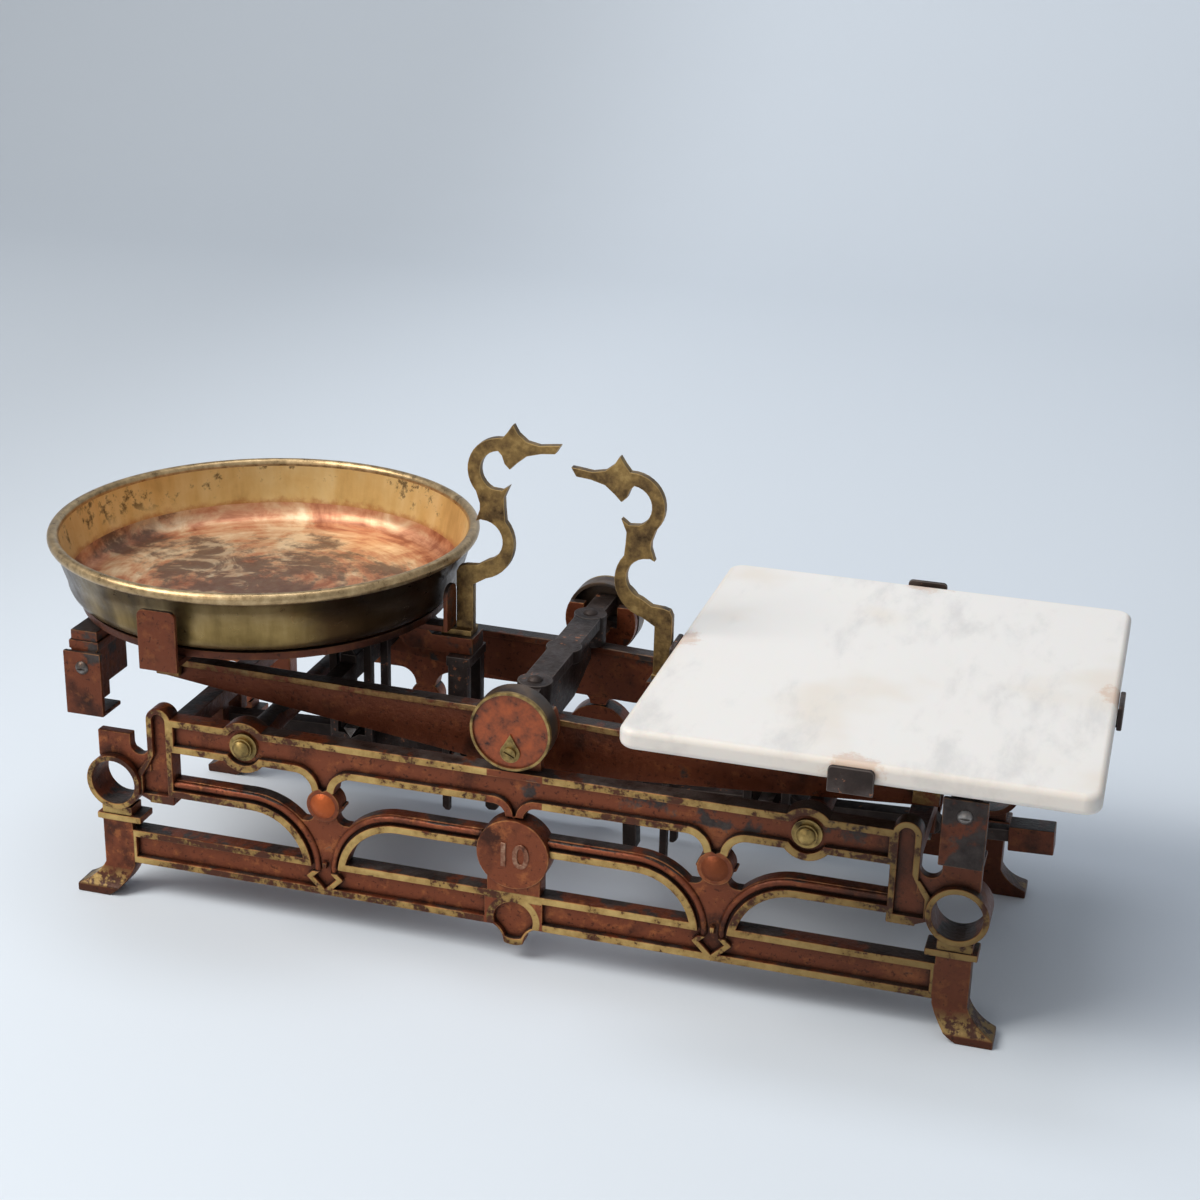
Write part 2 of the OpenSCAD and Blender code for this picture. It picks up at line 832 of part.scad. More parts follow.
module front_bearing_cap() {
    bearing_cap();
}

module rear_bearing_cap() {
    mirror([0, 1, 0])
        bearing_cap();
}

// Teardrop lugs under the screws of the caps
module cap_lugs() {
    face = hub_front_y + cap_depth - cap_face_in;
    color(gold)
        both_sides()
            plate(-face - 1.2, 1.2)
                difference() {
                    union() {
                        disc(0, pivot_z - 12, 5.4);
                        polygon([[-5.2, pivot_z - 10.6], [5.2, pivot_z - 10.6], [0, pivot_z - 1.5]]);
                    }
                    disc(0, pivot_z - 12, 2 + hole_gap);
                }
}

module cap_screws() {
    face = hub_front_y + cap_depth - cap_face_in + 1.2;
    color(brass)
        both_sides()
            difference() {
                union() {
                    y_bar(0, pivot_z - 12, 3.4, -face - 1.6, -face);
                    y_bar(0, pivot_z - 12, 2, -face - 0.1, -hub_front_y + 3);
                }
                translate([0, -face - 1.6, pivot_z - 12])
                    rotate([0, 25, 0])
                        cube([8, 1.6, 1], center = true);
            }
}

// Main beam

module rail_profile() {
    end_top = rail_top_z - rail_top_drop;
    polygon([[-rail_end_x, end_top], [0, rail_top_z], [rail_end_x, end_top],
        [rail_end_x, end_top - rail_depth_end], [30, rail_top_z - rail_depth_mid],
        [-30, rail_top_z - rail_depth_mid], [-rail_end_x, end_top - rail_depth_end]]);
}

module rail_flange_profile() {
    intersection() {
        rail_profile();
        polygon([[-rail_end_x, rail_top_z - rail_top_drop - flange_t],
            [0, rail_top_z - flange_t], [rail_end_x, rail_top_z - rail_top_drop - flange_t],
            [rail_end_x, rail_top_z + 1], [-rail_end_x, rail_top_z + 1]]);
    }
}

module beam_rail() {
    end_top = rail_top_z - rail_top_drop;
    color(iron_paint)
        beam_pose() {
            plate(-rail_mid_y - web_t / 2, web_t)
                rail_profile();
            plate(-rail_outer_y, flange_w)
                rail_flange_profile();
            both_ends()
                block([beam_arm - 7, -rail_mid_y - 7.5, end_top - rail_depth_end + 2],
                    [rail_end_x - 1, -rail_mid_y + 7.5, pivot_z - knife_h - 2]);
        }
}

module front_beam_rail() {
    beam_rail();
}

module rear_beam_rail() {
    mirror([0, 1, 0])
        beam_rail();
}

module beam_cross_bar() {
    top = pivot_z + cross_top;
    flange_z = pivot_z + knife_h;
    reach = bearing_y - 0.8;
    rib_y = rail_outer_y - flange_w;
    color(dark_iron)
        beam_pose() {
            difference() {
                union() {
                    block([-cross_w / 2, -rail_mid_y, flange_z], [cross_w / 2, rail_mid_y, top]);
                    block([-cross_w / 2 + 1.5, -reach, flange_z], [cross_w / 2 - 1.5, reach, top - 0.6]);
                    // The rib under the bar is deepest in the middle
                    translate([-3, 0, 0])
                        rotate([90, 0, 90])
                            linear_extrude(6)
                                polygon([[-rib_y, flange_z + 1], [rib_y, flange_z + 1],
                                    [rib_y, rail_top_z - 8], [16, pivot_z - 24],
                                    [-16, pivot_z - 24], [-rib_y, rail_top_z - 8]]);
                    translate([0, 0, flange_z - 1])
                        cylinder(r = cross_boss_r + 0.5, h = top - flange_z + 1);
                    both_sides()
                        translate([0, -rail_mid_y, rail_top_z])
                            cylinder(r = cross_boss_r, h = top + 0.4 - rail_top_z);
                }
                both_sides()
                    translate([0, -rail_mid_y, rail_top_z - 1])
                        cylinder(r = 3 + hole_gap, h = 30);
            }
        }
}

module beam_rivets() {
    top = pivot_z + cross_top + 0.4;
    color(dark_iron)
        beam_pose()
            both_sides()
                translate([0, -rail_mid_y, rail_top_z])
                    rotate_extrude()
                        union() {
                            square([3, top - rail_top_z]);
                            intersection() {
                                translate([0, top - rail_top_z - 3.2])
                                    circle(r = 5.6);
                                translate([0, top - rail_top_z])
                                    square([5, 4]);
                            }
                        }
}

// Three-cornered steel, edge down at z or edge up at z
module knife_down(x, z) {
    polygon([[x, z], [x - knife_half, z + knife_h], [x + knife_half, z + knife_h]]);
}

module knife_up(x, z) {
    polygon([[x, z], [x - knife_half, z - knife_h], [x + knife_half, z - knife_h]]);
}

module main_knives() {
    color(steel)
        beam_pose()
            both_sides()
                plate(-bearing_y + 1, bearing_y - 1 - knife_in_y)
                    knife_down(0, pivot_z);
}

module end_knives() {
    color(steel)
        beam_pose()
            both_sides()
                both_ends()
                    plate(-rail_mid_y - 7.5, 15) {
                        knife_up(beam_arm, pivot_z);
                        sheet([beam_arm - 5, pivot_z - knife_h - 2], [beam_arm + 5, pivot_z - knife_h]);
                    }
}

// Bars between the rails, with the knives that the shackles hang on
module link_bar(end) {
    reach = rail_mid_y - web_t / 2;
    top = rail_top_z - flange_t - rail_top_drop * (link_x + 5) / rail_end_x - 0.1;
    color(dark_iron)
        beam_pose()
            scale_x(end) {
                block([link_x - 5, -reach, top - 10], [link_x + 5, reach, top]);
                block([link_x - 5, -knife_out_y - 1, top - 1],
                    [link_x + 5, knife_out_y + 1, pivot_z - knife_h]);
                plate(-knife_out_y, 2 * knife_out_y)
                    knife_up(link_x, pivot_z);
            }
}

module left_link_bar() {
    link_bar(-1);
}

module right_link_bar() {
    link_bar(1);
}

// Carriers, drawn for +X

module carrier_frame(end_x) {
    bar_x0 = end_x - end_bar_w / 2;
    bar_x1 = end_x + end_bar_w / 2;
    reach = guard_outer_y - guard_t;
    inner_x = pointer_x - 7;
    // Long arm, raised over the shackle and stepped down at the pointer
    plate(-spine_w / 2, spine_w)
        polygon([[bar_x0 + 1, carrier_z], [link_x + 24, carrier_z + 6], [link_x - 19, carrier_z + 6],
            [pointer_x + 31, foot_pad_z - 10], [inner_x, foot_pad_z - 10], [inner_x, foot_pad_z],
            [pointer_x + 17, foot_pad_z], [pointer_x + 27, rest_z], [bar_x0 + 1, rest_z]]);
    block([bar_x0, -reach, carrier_z], [bar_x1, reach, carrier_z + 5.3]);
    block([bar_x0 + 1, -reach + 1, carrier_z + 5], [bar_x1 - 1, reach - 1, rest_z - 2]);
    // Cross bar over the end knives, with its two bearings
    block([beam_arm - 7, -rail_mid_y - 9, carrier_z], [beam_arm + 7, rail_mid_y + 9, rest_z]);
    both_sides() {
        plate(-rail_mid_y - 6.5, 13)
            difference() {
                sheet([beam_arm - 7, pivot_z - 2], [beam_arm + 7, carrier_z + 1]);
                bearing_notch(beam_arm, pivot_z, knife_gap);
            }
        // Wing and leg that the guard plate is screwed to
        difference() {
            union() {
                block([end_x - 3, -reach + 1, guard_low_z + 12], [end_x + 3, -rail_mid_y + 6, carrier_z + 1]);
                block([end_x - 8, -reach, guard_low_z + 8], [end_x + 8, -reach + 12, carrier_z + 1]);
            }
            y_bar(end_x, guard_screw_z, guard_screw_r + hole_gap, -reach - 1, -reach + guard_screw_l);
        }
    }
}

module carrier_pose(end) {
    hung_pose(end, beam_arm)
        scale_x(end)
            children();
}

module left_carrier() {
    color(iron_paint)
        carrier_pose(-1)
            carrier_frame(left_bar_x);
}

module right_carrier() {
    color(iron_paint)
        carrier_pose(1)
            carrier_frame(right_bar_x);
}

module guard_plates(end, end_x) {
    color(iron_paint)
        carrier_pose(end)
            both_sides()
                difference() {
                    union() {
                        block([end_x - guard_w / 2, -guard_outer_y, guard_low_z],
                            [end_x + guard_w / 2, -guard_outer_y + guard_t, guard_top_z]);
                        block([end_x - guard_w / 2, -guard_outer_y, guard_low_z],
                            [end_x + guard_w / 2, -guard_outer_y + guard_lip, guard_low_z + guard_lip_t]);
                    }
                    y_bar(end_x, guard_screw_z, guard_screw_r + hole_gap, -guard_outer_y - 1,
                        -guard_outer_y + guard_t + 1);
                }
}

module left_guard_plates() {
    guard_plates(-1, left_bar_x);
}

module right_guard_plates() {
    guard_plates(1, right_bar_x);
}

// Round-headed slotted screws
module guard_screws(end, end_x) {
    head_r = 4;
    high = 2.6;
    ball = (head_r * head_r + high * high) / (2 * high);
    reach = guard_outer_y - guard_t;
    color(steel)
        carrier_pose(end)
            both_sides()
                difference() {
                    union() {
                        intersection() {
                            translate([end_x, -guard_outer_y - high + ball, guard_screw_z])
                                sphere(r = ball);
                            y_bar(end_x, guard_screw_z, head_r, -guard_outer_y - high - 1, -guard_outer_y);
                        }
                        y_bar(end_x, guard_screw_z, guard_screw_r, -guard_outer_y - 0.1, -reach + guard_screw_l - 0.5);
                    }
                    block([end_x - 5, -guard_outer_y - high - 1, guard_screw_z - 0.5],
                        [end_x + 5, -guard_outer_y - high + 1.2, guard_screw_z + 0.5]);
                }
}

module left_guard_screws() {
    guard_screws(-1, left_bar_x);
}

module right_guard_screws() {
    guard_screws(1, right_bar_x);
}

// Fork under a carrier that stands on the lower lever's inner knives
module inner_leg(end) {
    top = foot_pad_z - 10;
    x0 = pointer_x - 6;
    x1 = pointer_x + 6;
    color(dark_iron)
        carrier_pose(end) {
            block([x0 - 1, -prong_y - prong_t, top - 6], [x1 + 1, prong_y + prong_t, top]);
            both_sides() {
                plate(-prong_y - prong_t, prong_t)
                    difference() {
                        sheet([x0, lever_z - 3], [x1, top - 5]);
                        bearing_notch(pointer_x, lever_z, knife_gap);
                    }
                plate(-prong_y - prong_t, prong_t - 2)
                    polygon([[x1 - 1.5, lever_z + 8], [x1 + 3.5, lever_z + 8], [x1 + 3.5, nose_z + 3],
                        [x1 + 1.5, nose_z + 1], [x1 - 1, nose_z + 1], [x1 - 1, lever_z - 3]]);
            }
        }
}

module left_inner_leg() {
    inner_leg(-1);
}

module right_inner_leg() {
    inner_leg(1);
}

// Swan-neck pointers. u runs from the post's middle towards the other pointer, w from the foot
module pointer_outline() {
    low_c = [7, 55];
    low_in_c = [10, 56.5];
    high_c = [20, 97];
    polygon(concat(
        [[-pointer_half, 0], [pointer_half, 0], [pointer_half, 30]],
        arc(low_c.x, low_c.y, 21.3, -76, 40, 12),
        [[22.6, 76], [22.3, 82], [25.5, 89.5], [21, 86.2]],
        arc(high_c.x, high_c.y, 11.4, 245, 97, 12),
        [[20.8, 106], [22.4, 101.5], [25.5, 98.5], [29.5, 102.5], [35, 107], [43, 109.2], [51, 110],
            [54, 115], [50, 114.6], [42, 113.6], [35, 115], [30, 119], [27, 124], [24, 119.4]],
        arc(high_c.x, high_c.y, 18.7, 87, 222, 14),
        [[8.4, 77.5], [8.4, 74], [6, 67], [9, 68.4]],
        arc(low_in_c.x, low_in_c.y, 11.7, 92, -76, 12),
        [[7, 41.5], [0, 41], [-3.4, 40], [-pointer_half, 36.6]]));
}

module pointer(end) {
    color(brass)
        carrier_pose(end)
            translate([pointer_x, 0, foot_pad_z])
                difference() {
                    union() {
                        mirror([1, 0, 0])
                            plate(-pointer_t / 2, pointer_t)
                                pointer_outline();
                        block([-pointer_half, -6, 0], [pointer_toe, 6, 3.4]);
                    }
                    translate([pointer_screw_in, 0, -1])
                        cylinder(r = pointer_screw_r + hole_gap, h = 6);
                }
}

module left_pointer() {
    pointer(-1);
}

module right_pointer() {
    pointer(1);
}

module pointer_screw(end) {
    color(brass)
        carrier_pose(end)
            translate([pointer_x + pointer_screw_in, 0, foot_pad_z + 3.4])
                difference() {
                    union() {
                        cylinder(r = 3.2, h = 2);
                        translate([0, 0, -3.4])
                            cylinder(r = pointer_screw_r, h = 4);
                    }
                    translate([0, 0, 2])
                        cube([8, 0.9, 1.6], center = true);
                }
}

module left_pointer_screw() {
    pointer_screw(-1);
}

module right_pointer_screw() {
    pointer_screw(1);
}

// Wheel-shaped rest under the pan, with arms out to the clips

clip_low_z = rest_z - 3.5;
pan_clip_y = 117.5;
inner_clip_y = 11;
inner_clip_w = 15;
inner_clip_h = pan_clip_h - 8;
pan_wall_r = pan_bottom_r + pan_corner_r;
pan_roll_x = pan_rim_r - pan_roll_r;
pan_roll_z = pan_h - pan_roll_r;
pan_lean = (pan_roll_x - pan_wall_r) / (pan_roll_z - 1 - pan_corner_r);
inner_clip_x = pan_x - pan_wall_r - pan_lean * (clip_low_z + inner_clip_h - load_z - pan_corner_r) - seat_gap;

module pan_rest() {
    color(iron_paint)
        carrier_pose(-1) {
            difference() {
                translate([pan_x, 0, rest_z])
                    cylinder(r = rest_ring_r, h = rest_t);
                translate([pan_x, 0, rest_z - 1])
                    cylinder(r = rest_ring_r - 15, h = rest_t + 2);
            }
            translate([pan_x, 0, rest_z])
                cylinder(r = 18, h = rest_t);
            for (turn = [0, 90])
                translate([pan_x, 0, 0])
                    rotate([0, 0, turn])
                        block([-rest_ring_r + 5, -7, rest_z], [rest_ring_r - 5, 7, rest_z + rest_t]);
            both_sides()
                block([pan_clip_x - 8, -pan_clip_y, clip_low_z], [pan_clip_x + 8, -rest_ring_r + 14, rest_z + 0.1]);
            block([inner_clip_x, -inner_clip_y - inner_clip_w / 2, clip_low_z],
                [pan_x - rest_ring_r + 18, -spine_w / 2, rest_z + 0.1]);
        }
}

// Upright clip with a rounded top, as a flat shape
module clip_shape(w, h, corner) {
    difference() {
        sheet([-w / 2, 0], [w / 2, h]);
        for (side = [-1, 1])
            difference() {
                translate([side * w / 2, h])
                    square(2 * corner, center = true);
                disc(side * (w / 2 - corner), h - corner, corner);
            }
    }
}

module pan_clips() {
    color(iron_paint)
        carrier_pose(-1) {
            both_sides()
                plate(-pan_clip_y - clip_t, clip_t)
                    translate([pan_clip_x, clip_low_z])
                        clip_shape(pan_clip_w, pan_clip_h, 4);
            translate([inner_clip_x, -inner_clip_y, clip_low_z])
                rotate([90, 0, 90])
                    translate([0, 0, -clip_t])
                        linear_extrude(clip_t)
                            clip_shape(inner_clip_w, inner_clip_h, 6);
        }
}

slab_in = slab_l / 2 + seat_gap;
slab_side = slab_w / 2 + seat_gap;

module slab_rest() {
    color(dark_iron)
        carrier_pose(1)
            translate([slab_mid_x, 0, 0]) {
                block([-slab_in, -8, rest_z], [slab_in, 8, seat_z]);
                block([-8, -slab_side, rest_z], [8, slab_side, seat_z]);
                translate([0, 0, rest_z])
                    cylinder(r = 34, h = rest_t);
                for (turn = [45, 135])
                    rotate([0, 0, turn])
                        block([-100, -6, rest_z], [100, 6, seat_z]);
            }
}

module slab_clips() {
    low = load_z - rest_z;
    high = slab_clip_h + low;
    color(dark_iron)
        carrier_pose(1)
            translate([slab_mid_x, 0, rest_z]) {
                plate(-slab_side - clip_t, clip_t)
                    clip_shape(slab_clip_w, high, 2.5);
                plate(slab_side, clip_t)
                    clip_shape(slab_clip_w, slab_back_clip_h + low, 2.5);
                for (turn = [90, -90])
                    rotate([0, 0, turn])
                        plate(-slab_in - clip_t, clip_t)
                            clip_shape(slab_clip_w, high, 2.5);
            }
}

// Lower levers: fixed knives outside, shackle knives midway, carrier knives inside

module lever_profile() {
    low = lever_z - lever_below;
    high = lever_z + 2;
    nose_x = pointer_x - 20;
    polygon([[lever_fixed_x + 8, low + 3], [lever_fixed_x + 8, high - 3], [lever_fixed_x + 5, high],
        [link_x + 16, high], [link_x + 8, lever_z + knife_h + 2], [link_x - 8, lever_z + knife_h + 2],
        [link_x - 16, high], [nose_x + 3, high], [nose_x, high - 3], [nose_x, nose_z + 2],
        [nose_x + 2, nose_z], [nose_x + 6, nose_z], [nose_x + 8, nose_z + 2], [nose_x + 8, low - 4],
        [nose_x + 12, low], [lever_fixed_x + 5, low]]);
}

module lower_lever(end) {
    color(dark_iron)
        lever_pose(end)
            scale_x(end)
                difference() {
                    plate(-lever_t / 2, lever_t)
                        lever_profile();
                    lever_knife_solids();
                }
}

module left_lower_lever() {
    lower_lever(-1);
}

module right_lower_lever() {
    lower_lever(1);
    color(dark_iron)
        lever_pose(1)
            block([lever_fixed_x + 4, -tail_w / 2, lever_z - lever_below],
                [tare_x1 - 3, tail_w / 2, lever_z - lever_below + tail_w]);
}

// Square block that trims the lever on the slab side, pushed onto its tail
module tare_block() {
    mid_z = lever_z - lever_below + tail_w / 2;
    color(dark_iron)
        lever_pose(1)
            difference() {
                block([tare_x1 - tare_l, -tare_w / 2, mid_z - tare_w / 2],
                    [tare_x1, tare_w / 2, mid_z + tare_w / 2]);
                block([tare_x1 - tare_l - 1, -tail_w / 2 - hole_gap, mid_z - tail_w / 2 - hole_gap],
                    [tare_x1 - 3 + hole_gap, tail_w / 2 + hole_gap, mid_z + tail_w / 2 + hole_gap]);
            }
}

module lever_knife_solids() {
    plate(-knife_out_y, 2 * knife_out_y)
        knife_up(lever_fixed_x, lever_z);
    plate(-knife_out_y, 2 * knife_out_y)
        knife_down(link_x, lever_z);
    plate(-knife_out_y + 1, 2 * knife_out_y - 2)
        knife_up(pointer_x, lever_z);
}

module lever_knives(end) {
    color(steel)
        lever_pose(end)
            scale_x(end)
                lever_knife_solids();
}

module left_lever_knives() {
    lever_knives(-1);
}

module right_lever_knives() {
    lever_knives(1);
}

// A shackle is two windowed plates, joined over the top, between the beam and a lower lever
module shackle(end) {
    half = 13;
    in = 8;
    top = pivot_z + shackle_top;
    low = lever_z - lever_below;
    color(dark_iron)
        hung_pose(end, link_x)
            translate([end * link_x, 0, 0]) {
                both_sides()
                    plate(-shackle_y - shackle_t, shackle_t)
                        difference() {
                            sheet([-half, low], [half, top]);
                            sheet([-in, lever_z + 2.5], [in, pivot_z - 2.5]);
                            polygon([[-5, pivot_z - 3], [5, pivot_z - 3], [0, pivot_z + knife_gap]]);
                            polygon([[-5, lever_z + 3], [5, lever_z + 3], [0, lever_z - knife_gap]]);
                        }
                block([-half, -shackle_y - 0.1, top - 3.5], [half, shackle_y + 0.1, top]);
            }
}

module left_shackle() {
    shackle(-1);
}

module right_shackle() {
    shackle(1);
}

// Brass pan: one sheet with a round lower corner, a leaning wall and a rolled rim

module pan_section() {
    difference() {
        union() {
            square([pan_bottom_r, pan_t]);
            intersection() {
                translate([pan_bottom_r, pan_corner_r])
                    circle(r = pan_corner_r);
                translate([pan_bottom_r, 0])
                    square(pan_corner_r);
            }
            polygon([[pan_wall_r - pan_t, pan_corner_r], [pan_wall_r, pan_corner_r],
                [pan_roll_x, pan_roll_z - 1], [pan_roll_x - pan_t, pan_roll_z]]);
            translate([pan_roll_x, pan_roll_z])
                circle(r = pan_roll_r);
        }
        translate([pan_bottom_r, pan_corner_r])
            circle(r = pan_corner_r - pan_t);
    }
}

module weighing_pan() {
    color(brass)
        carrier_pose(-1)
            translate([pan_x, 0, load_z])
                rotate_extrude($fn = 96)
                    pan_section();
}

// Marble slab with rounded corners and edges

module slab_edge() {
    translate([0, slab_edge_r])
        square([slab_corner_r, slab_t - 2 * slab_edge_r]);
    square([slab_corner_r - slab_edge_r, slab_t]);
    for (z = [slab_edge_r, slab_t - slab_edge_r])
        intersection() {
            translate([slab_corner_r - slab_edge_r, z])
                circle(r = slab_edge_r);
            square([slab_corner_r, slab_t]);
        }
}

module marble_slab() {
    half_l = slab_l / 2 - slab_corner_r;
    half_w = slab_w / 2 - slab_corner_r;
    color("#e6e2dc")
        carrier_pose(1)
            translate([slab_mid_x, 0, load_z]) {
                block([-half_l, -half_w, 0], [half_l, half_w, slab_t]);
                for (sx = [-1, 1], sy = [-1, 1])
                    translate([sx * half_l, sy * half_w, 0])
                        rotate_extrude()
                            slab_edge();
                for (turn = [0, 180])
                    rotate([0, 0, turn]) {
                        translate([half_l, half_w, 0])
                            rotate([90, 0, 0])
                                linear_extrude(2 * half_w)
                                    slab_edge();
                        translate([half_l, -half_w, 0])
                            rotate([90, 0, -90])
                                linear_extrude(2 * half_l)
                                    slab_edge();
                    }
            }
}

front_side_frame();
rear_side_frame();
tie_rods();
spacer_tubes();
tie_washers();
tie_nuts();
left_fulcrum_bar();
right_fulcrum_bar();
main_bearings();
front_bearing_cap();
rear_bearing_cap();
cap_lugs();
cap_screws();
front_beam_rail();
rear_beam_rail();
beam_cross_bar();
beam_rivets();
main_knives();
end_knives();
left_link_bar();
right_link_bar();
left_carrier();
pan_rest();
pan_clips();
left_guard_plates();
left_guard_screws();
left_pointer();
left_pointer_screw();
left_inner_leg();
right_carrier();
slab_rest();
slab_clips();
right_guard_plates();
right_guard_screws();
right_pointer();
right_pointer_screw();
right_inner_leg();
left_lower_lever();
right_lower_lever();
tare_block();
left_lever_knives();
right_lever_knives();
left_shackle();
right_shackle();
weighing_pan();
marble_slab();
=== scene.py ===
"""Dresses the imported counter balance: gilded castings, iron beam and levers, brass pan and marble slab.

Every piece is in metres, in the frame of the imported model: pan at -X, decorated front at -Y, feet on z = 0.
"""

import json
import math
from functools import partial

import bmesh
import bpy
from mathutils import Matrix, Vector


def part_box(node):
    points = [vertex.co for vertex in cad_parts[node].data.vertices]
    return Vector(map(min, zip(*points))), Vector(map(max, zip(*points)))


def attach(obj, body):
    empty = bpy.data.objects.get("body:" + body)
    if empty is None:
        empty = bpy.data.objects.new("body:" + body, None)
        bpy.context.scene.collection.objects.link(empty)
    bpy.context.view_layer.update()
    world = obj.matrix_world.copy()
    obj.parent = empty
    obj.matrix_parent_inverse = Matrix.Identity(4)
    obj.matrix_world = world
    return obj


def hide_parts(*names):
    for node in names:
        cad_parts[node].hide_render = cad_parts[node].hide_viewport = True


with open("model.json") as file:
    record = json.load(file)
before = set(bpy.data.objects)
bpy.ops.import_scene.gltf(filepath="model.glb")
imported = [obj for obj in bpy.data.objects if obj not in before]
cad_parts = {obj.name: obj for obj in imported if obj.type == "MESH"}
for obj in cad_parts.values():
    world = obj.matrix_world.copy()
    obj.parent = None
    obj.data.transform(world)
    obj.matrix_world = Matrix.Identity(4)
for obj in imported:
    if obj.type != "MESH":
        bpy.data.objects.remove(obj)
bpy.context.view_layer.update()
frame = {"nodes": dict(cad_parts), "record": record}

bl_info = {
    "name": "Counter Balance Finishes",
    "version": (1, 0, 0),
    "blender": (4, 5, 0),
    "location": "View3D > Sidebar > Balance",
    "description": "Rounds the edges of a counter balance and gives it iron, brass and marble finishes",
    "category": "Object",
}

MM = 0.001
WELD = 0.05 * MM
SHARP = math.radians(34)
FLAT = math.radians(0.7)

# Middles of round forms that the finishes follow, in millimetres: a dome, the pendant and the main knife
DOME = (109.4, 0, 74.8)
PENDANT = (0, 0, 24)
MAIN_KNIFE = (0, 0, 139)

# The face of the front shield, in metres
SHIELD_FACE = (0, -86.6 * MM, 65 * MM)

# Camera, as fitted to the photograph's straight edges: degrees, millimetres and pixels
CAMERA_TURN, CAMERA_LIFT, CAMERA_ROLL = 15.8467, 21.0237, 1.4685
CAMERA_AIM = (20.337, 0, 181.494)
CAMERA_DISTANCE = 1141.813
FOCAL_PIXELS = 2094.845
PHOTO_PIXELS = 1200
SENSOR_WIDTH = 36

# Lamps: name, place, aim, width in metres, watts, colour
LAMPS = [
    ("Key light", (-1.7, -1.2, 2.6), (0, 0, 0.1), 1.8, 81, "#fffdf8"),
    ("Overhead", (0.2, -0.4, 2.4), (0, 0, 0), 2.0, 5, "#f6f9ff"),
    ("Front fill", (-0.6, -2.4, 1.3), (0, 0, 0.05), 1.6, 8, "#fff8ef"),
    ("Backdrop light", (-0.3, 0.5, 2.6), (-0.2, 2.2, 1.0), 1.4, 21, "#f1f5fb"),
]


def linear(code):
    """A colour written as an sRGB hex value, as the linear colour that the shaders take."""
    channels = [int(code[i : i + 2], 16) / 255 for i in (1, 3, 5)]
    return tuple(c / 12.92 if c <= 0.04045 else ((c + 0.055) / 1.055) ** 2.4 for c in channels) + (1.0,)


def arc(x, z, radius, start, stop, step):
    """Points on an arc round (x, z), from start to before stop in whole degrees, where 0 points along x."""
    angles = [math.radians(degrees) for degrees in range(start, stop, step)]
    return [(x + radius * math.cos(a), z + radius * math.sin(a)) for a in angles]


def per_mm(size):
    """The scale of a texture on Object coordinates whose pattern repeats about every size millimetres."""
    return 1 / (size * MM)


# Sizes and colours that a user may change


def shade(name, description, code):
    """A colour of the sidebar, with its default as a hex value."""
    return bpy.props.FloatVectorProperty(
        name=name, description=description, size=3, subtype="COLOR", min=0, max=1, default=linear(code)[:3]
    )


class BalanceColours(bpy.types.PropertyGroup):
    paint: shade("Paint", "Red-brown bronze paint of the castings", "#7e4127")
    paint_dark: shade("Dark paint", "The same paint where it is dirty", "#3f1f12")
    paint_worn: shade("Worn paint", "The same paint where it has rubbed thin", "#b46b3d")
    gilding: shade("Gilding", "Gold bronze paint on the raised edges", "#a8864e")
    gilding_dark: shade("Dark gilding", "Gold bronze paint where it has tarnished", "#523c20")
    iron: shade("Bare iron", "Iron where the paint has gone", "#544a46")
    copper: shade("Copper", "Copper bronze paint on the domes and the drum caps", "#b4592c")
    brass: shade("Brass", "Tarnished brass of the pan's outside", "#8f7749")
    stain: shade("Stain", "Rusty stain on the pan's floor", "#a85a30")
    marble: shade("Marble", "Ground colour of the slab", "#eee9e2")
    floor: shade("Floor", "Studio floor and backdrop", "#dbe2ea")


class BalanceSizes(bpy.types.PropertyGroup):
    casting_round: bpy.props.FloatProperty(
        name="Casting edges", description="Radius of the castings' edges", default=0.8 * MM, min=0.1 * MM,
        max=MM, unit="LENGTH",
    )
    iron_round: bpy.props.FloatProperty(
        name="Iron edges", description="Radius of the beam's and carriers' edges", default=0.7 * MM,
        min=0.1 * MM, max=MM, unit="LENGTH",
    )
    number_height: bpy.props.FloatProperty(
        name="Number height", description="Height of the raised number on the shield", default=13.5 * MM,
        min=8 * MM, max=16 * MM, unit="LENGTH",
    )


def colour(name):
    """A colour of the sidebar with its alpha."""
    return tuple(getattr(bpy.context.scene.balance_colours, name)) + (1.0,)


# Shader nodes


def add_node(tree, kind, inputs=None, stops=None, take=0, **settings):
    """Adds a shader node with its settings, fills its inputs with values or links, and sets a ramp's stops
    to colours or hex values. It gives back the output to take, the first one unless another is named, or
    all of them when take is None."""
    node = tree.nodes.new("ShaderNode" + kind)
    for key, value in settings.items():
        setattr(node, key, value)
    for key, value in (inputs or {}).items():
        if isinstance(value, bpy.types.NodeSocket):
            tree.links.new(value, node.inputs[key])
        else:
            node.inputs[key].default_value = value
    if stops:
        elements = node.color_ramp.elements
        while len(elements) < len(stops):
            elements.new(0.5)
        for element, (place, value) in zip(elements, stops):
            element.position = place
            element.color = linear(value) if isinstance(value, str) else value
    return node.outputs if take is None else node.outputs[take]


# Settings that many nodes share: a soft step, and a mix of two colours, whose result is its third output.
# A mix has its share at input 0 and its colours at 6 and 7. A range leads from inputs 1 and 2 to 3 and 4.
SOFT = {"interpolation_type": "SMOOTHSTEP"}
TINT = {"data_type": "RGBA", "take": 2}


def new_finish(name):
    """An empty material, and the function that adds nodes to it."""
    material = bpy.data.materials.new(name)
    material.use_nodes = True
    material.node_tree.nodes.clear()
    return material, partial(add_node, material.node_tree)


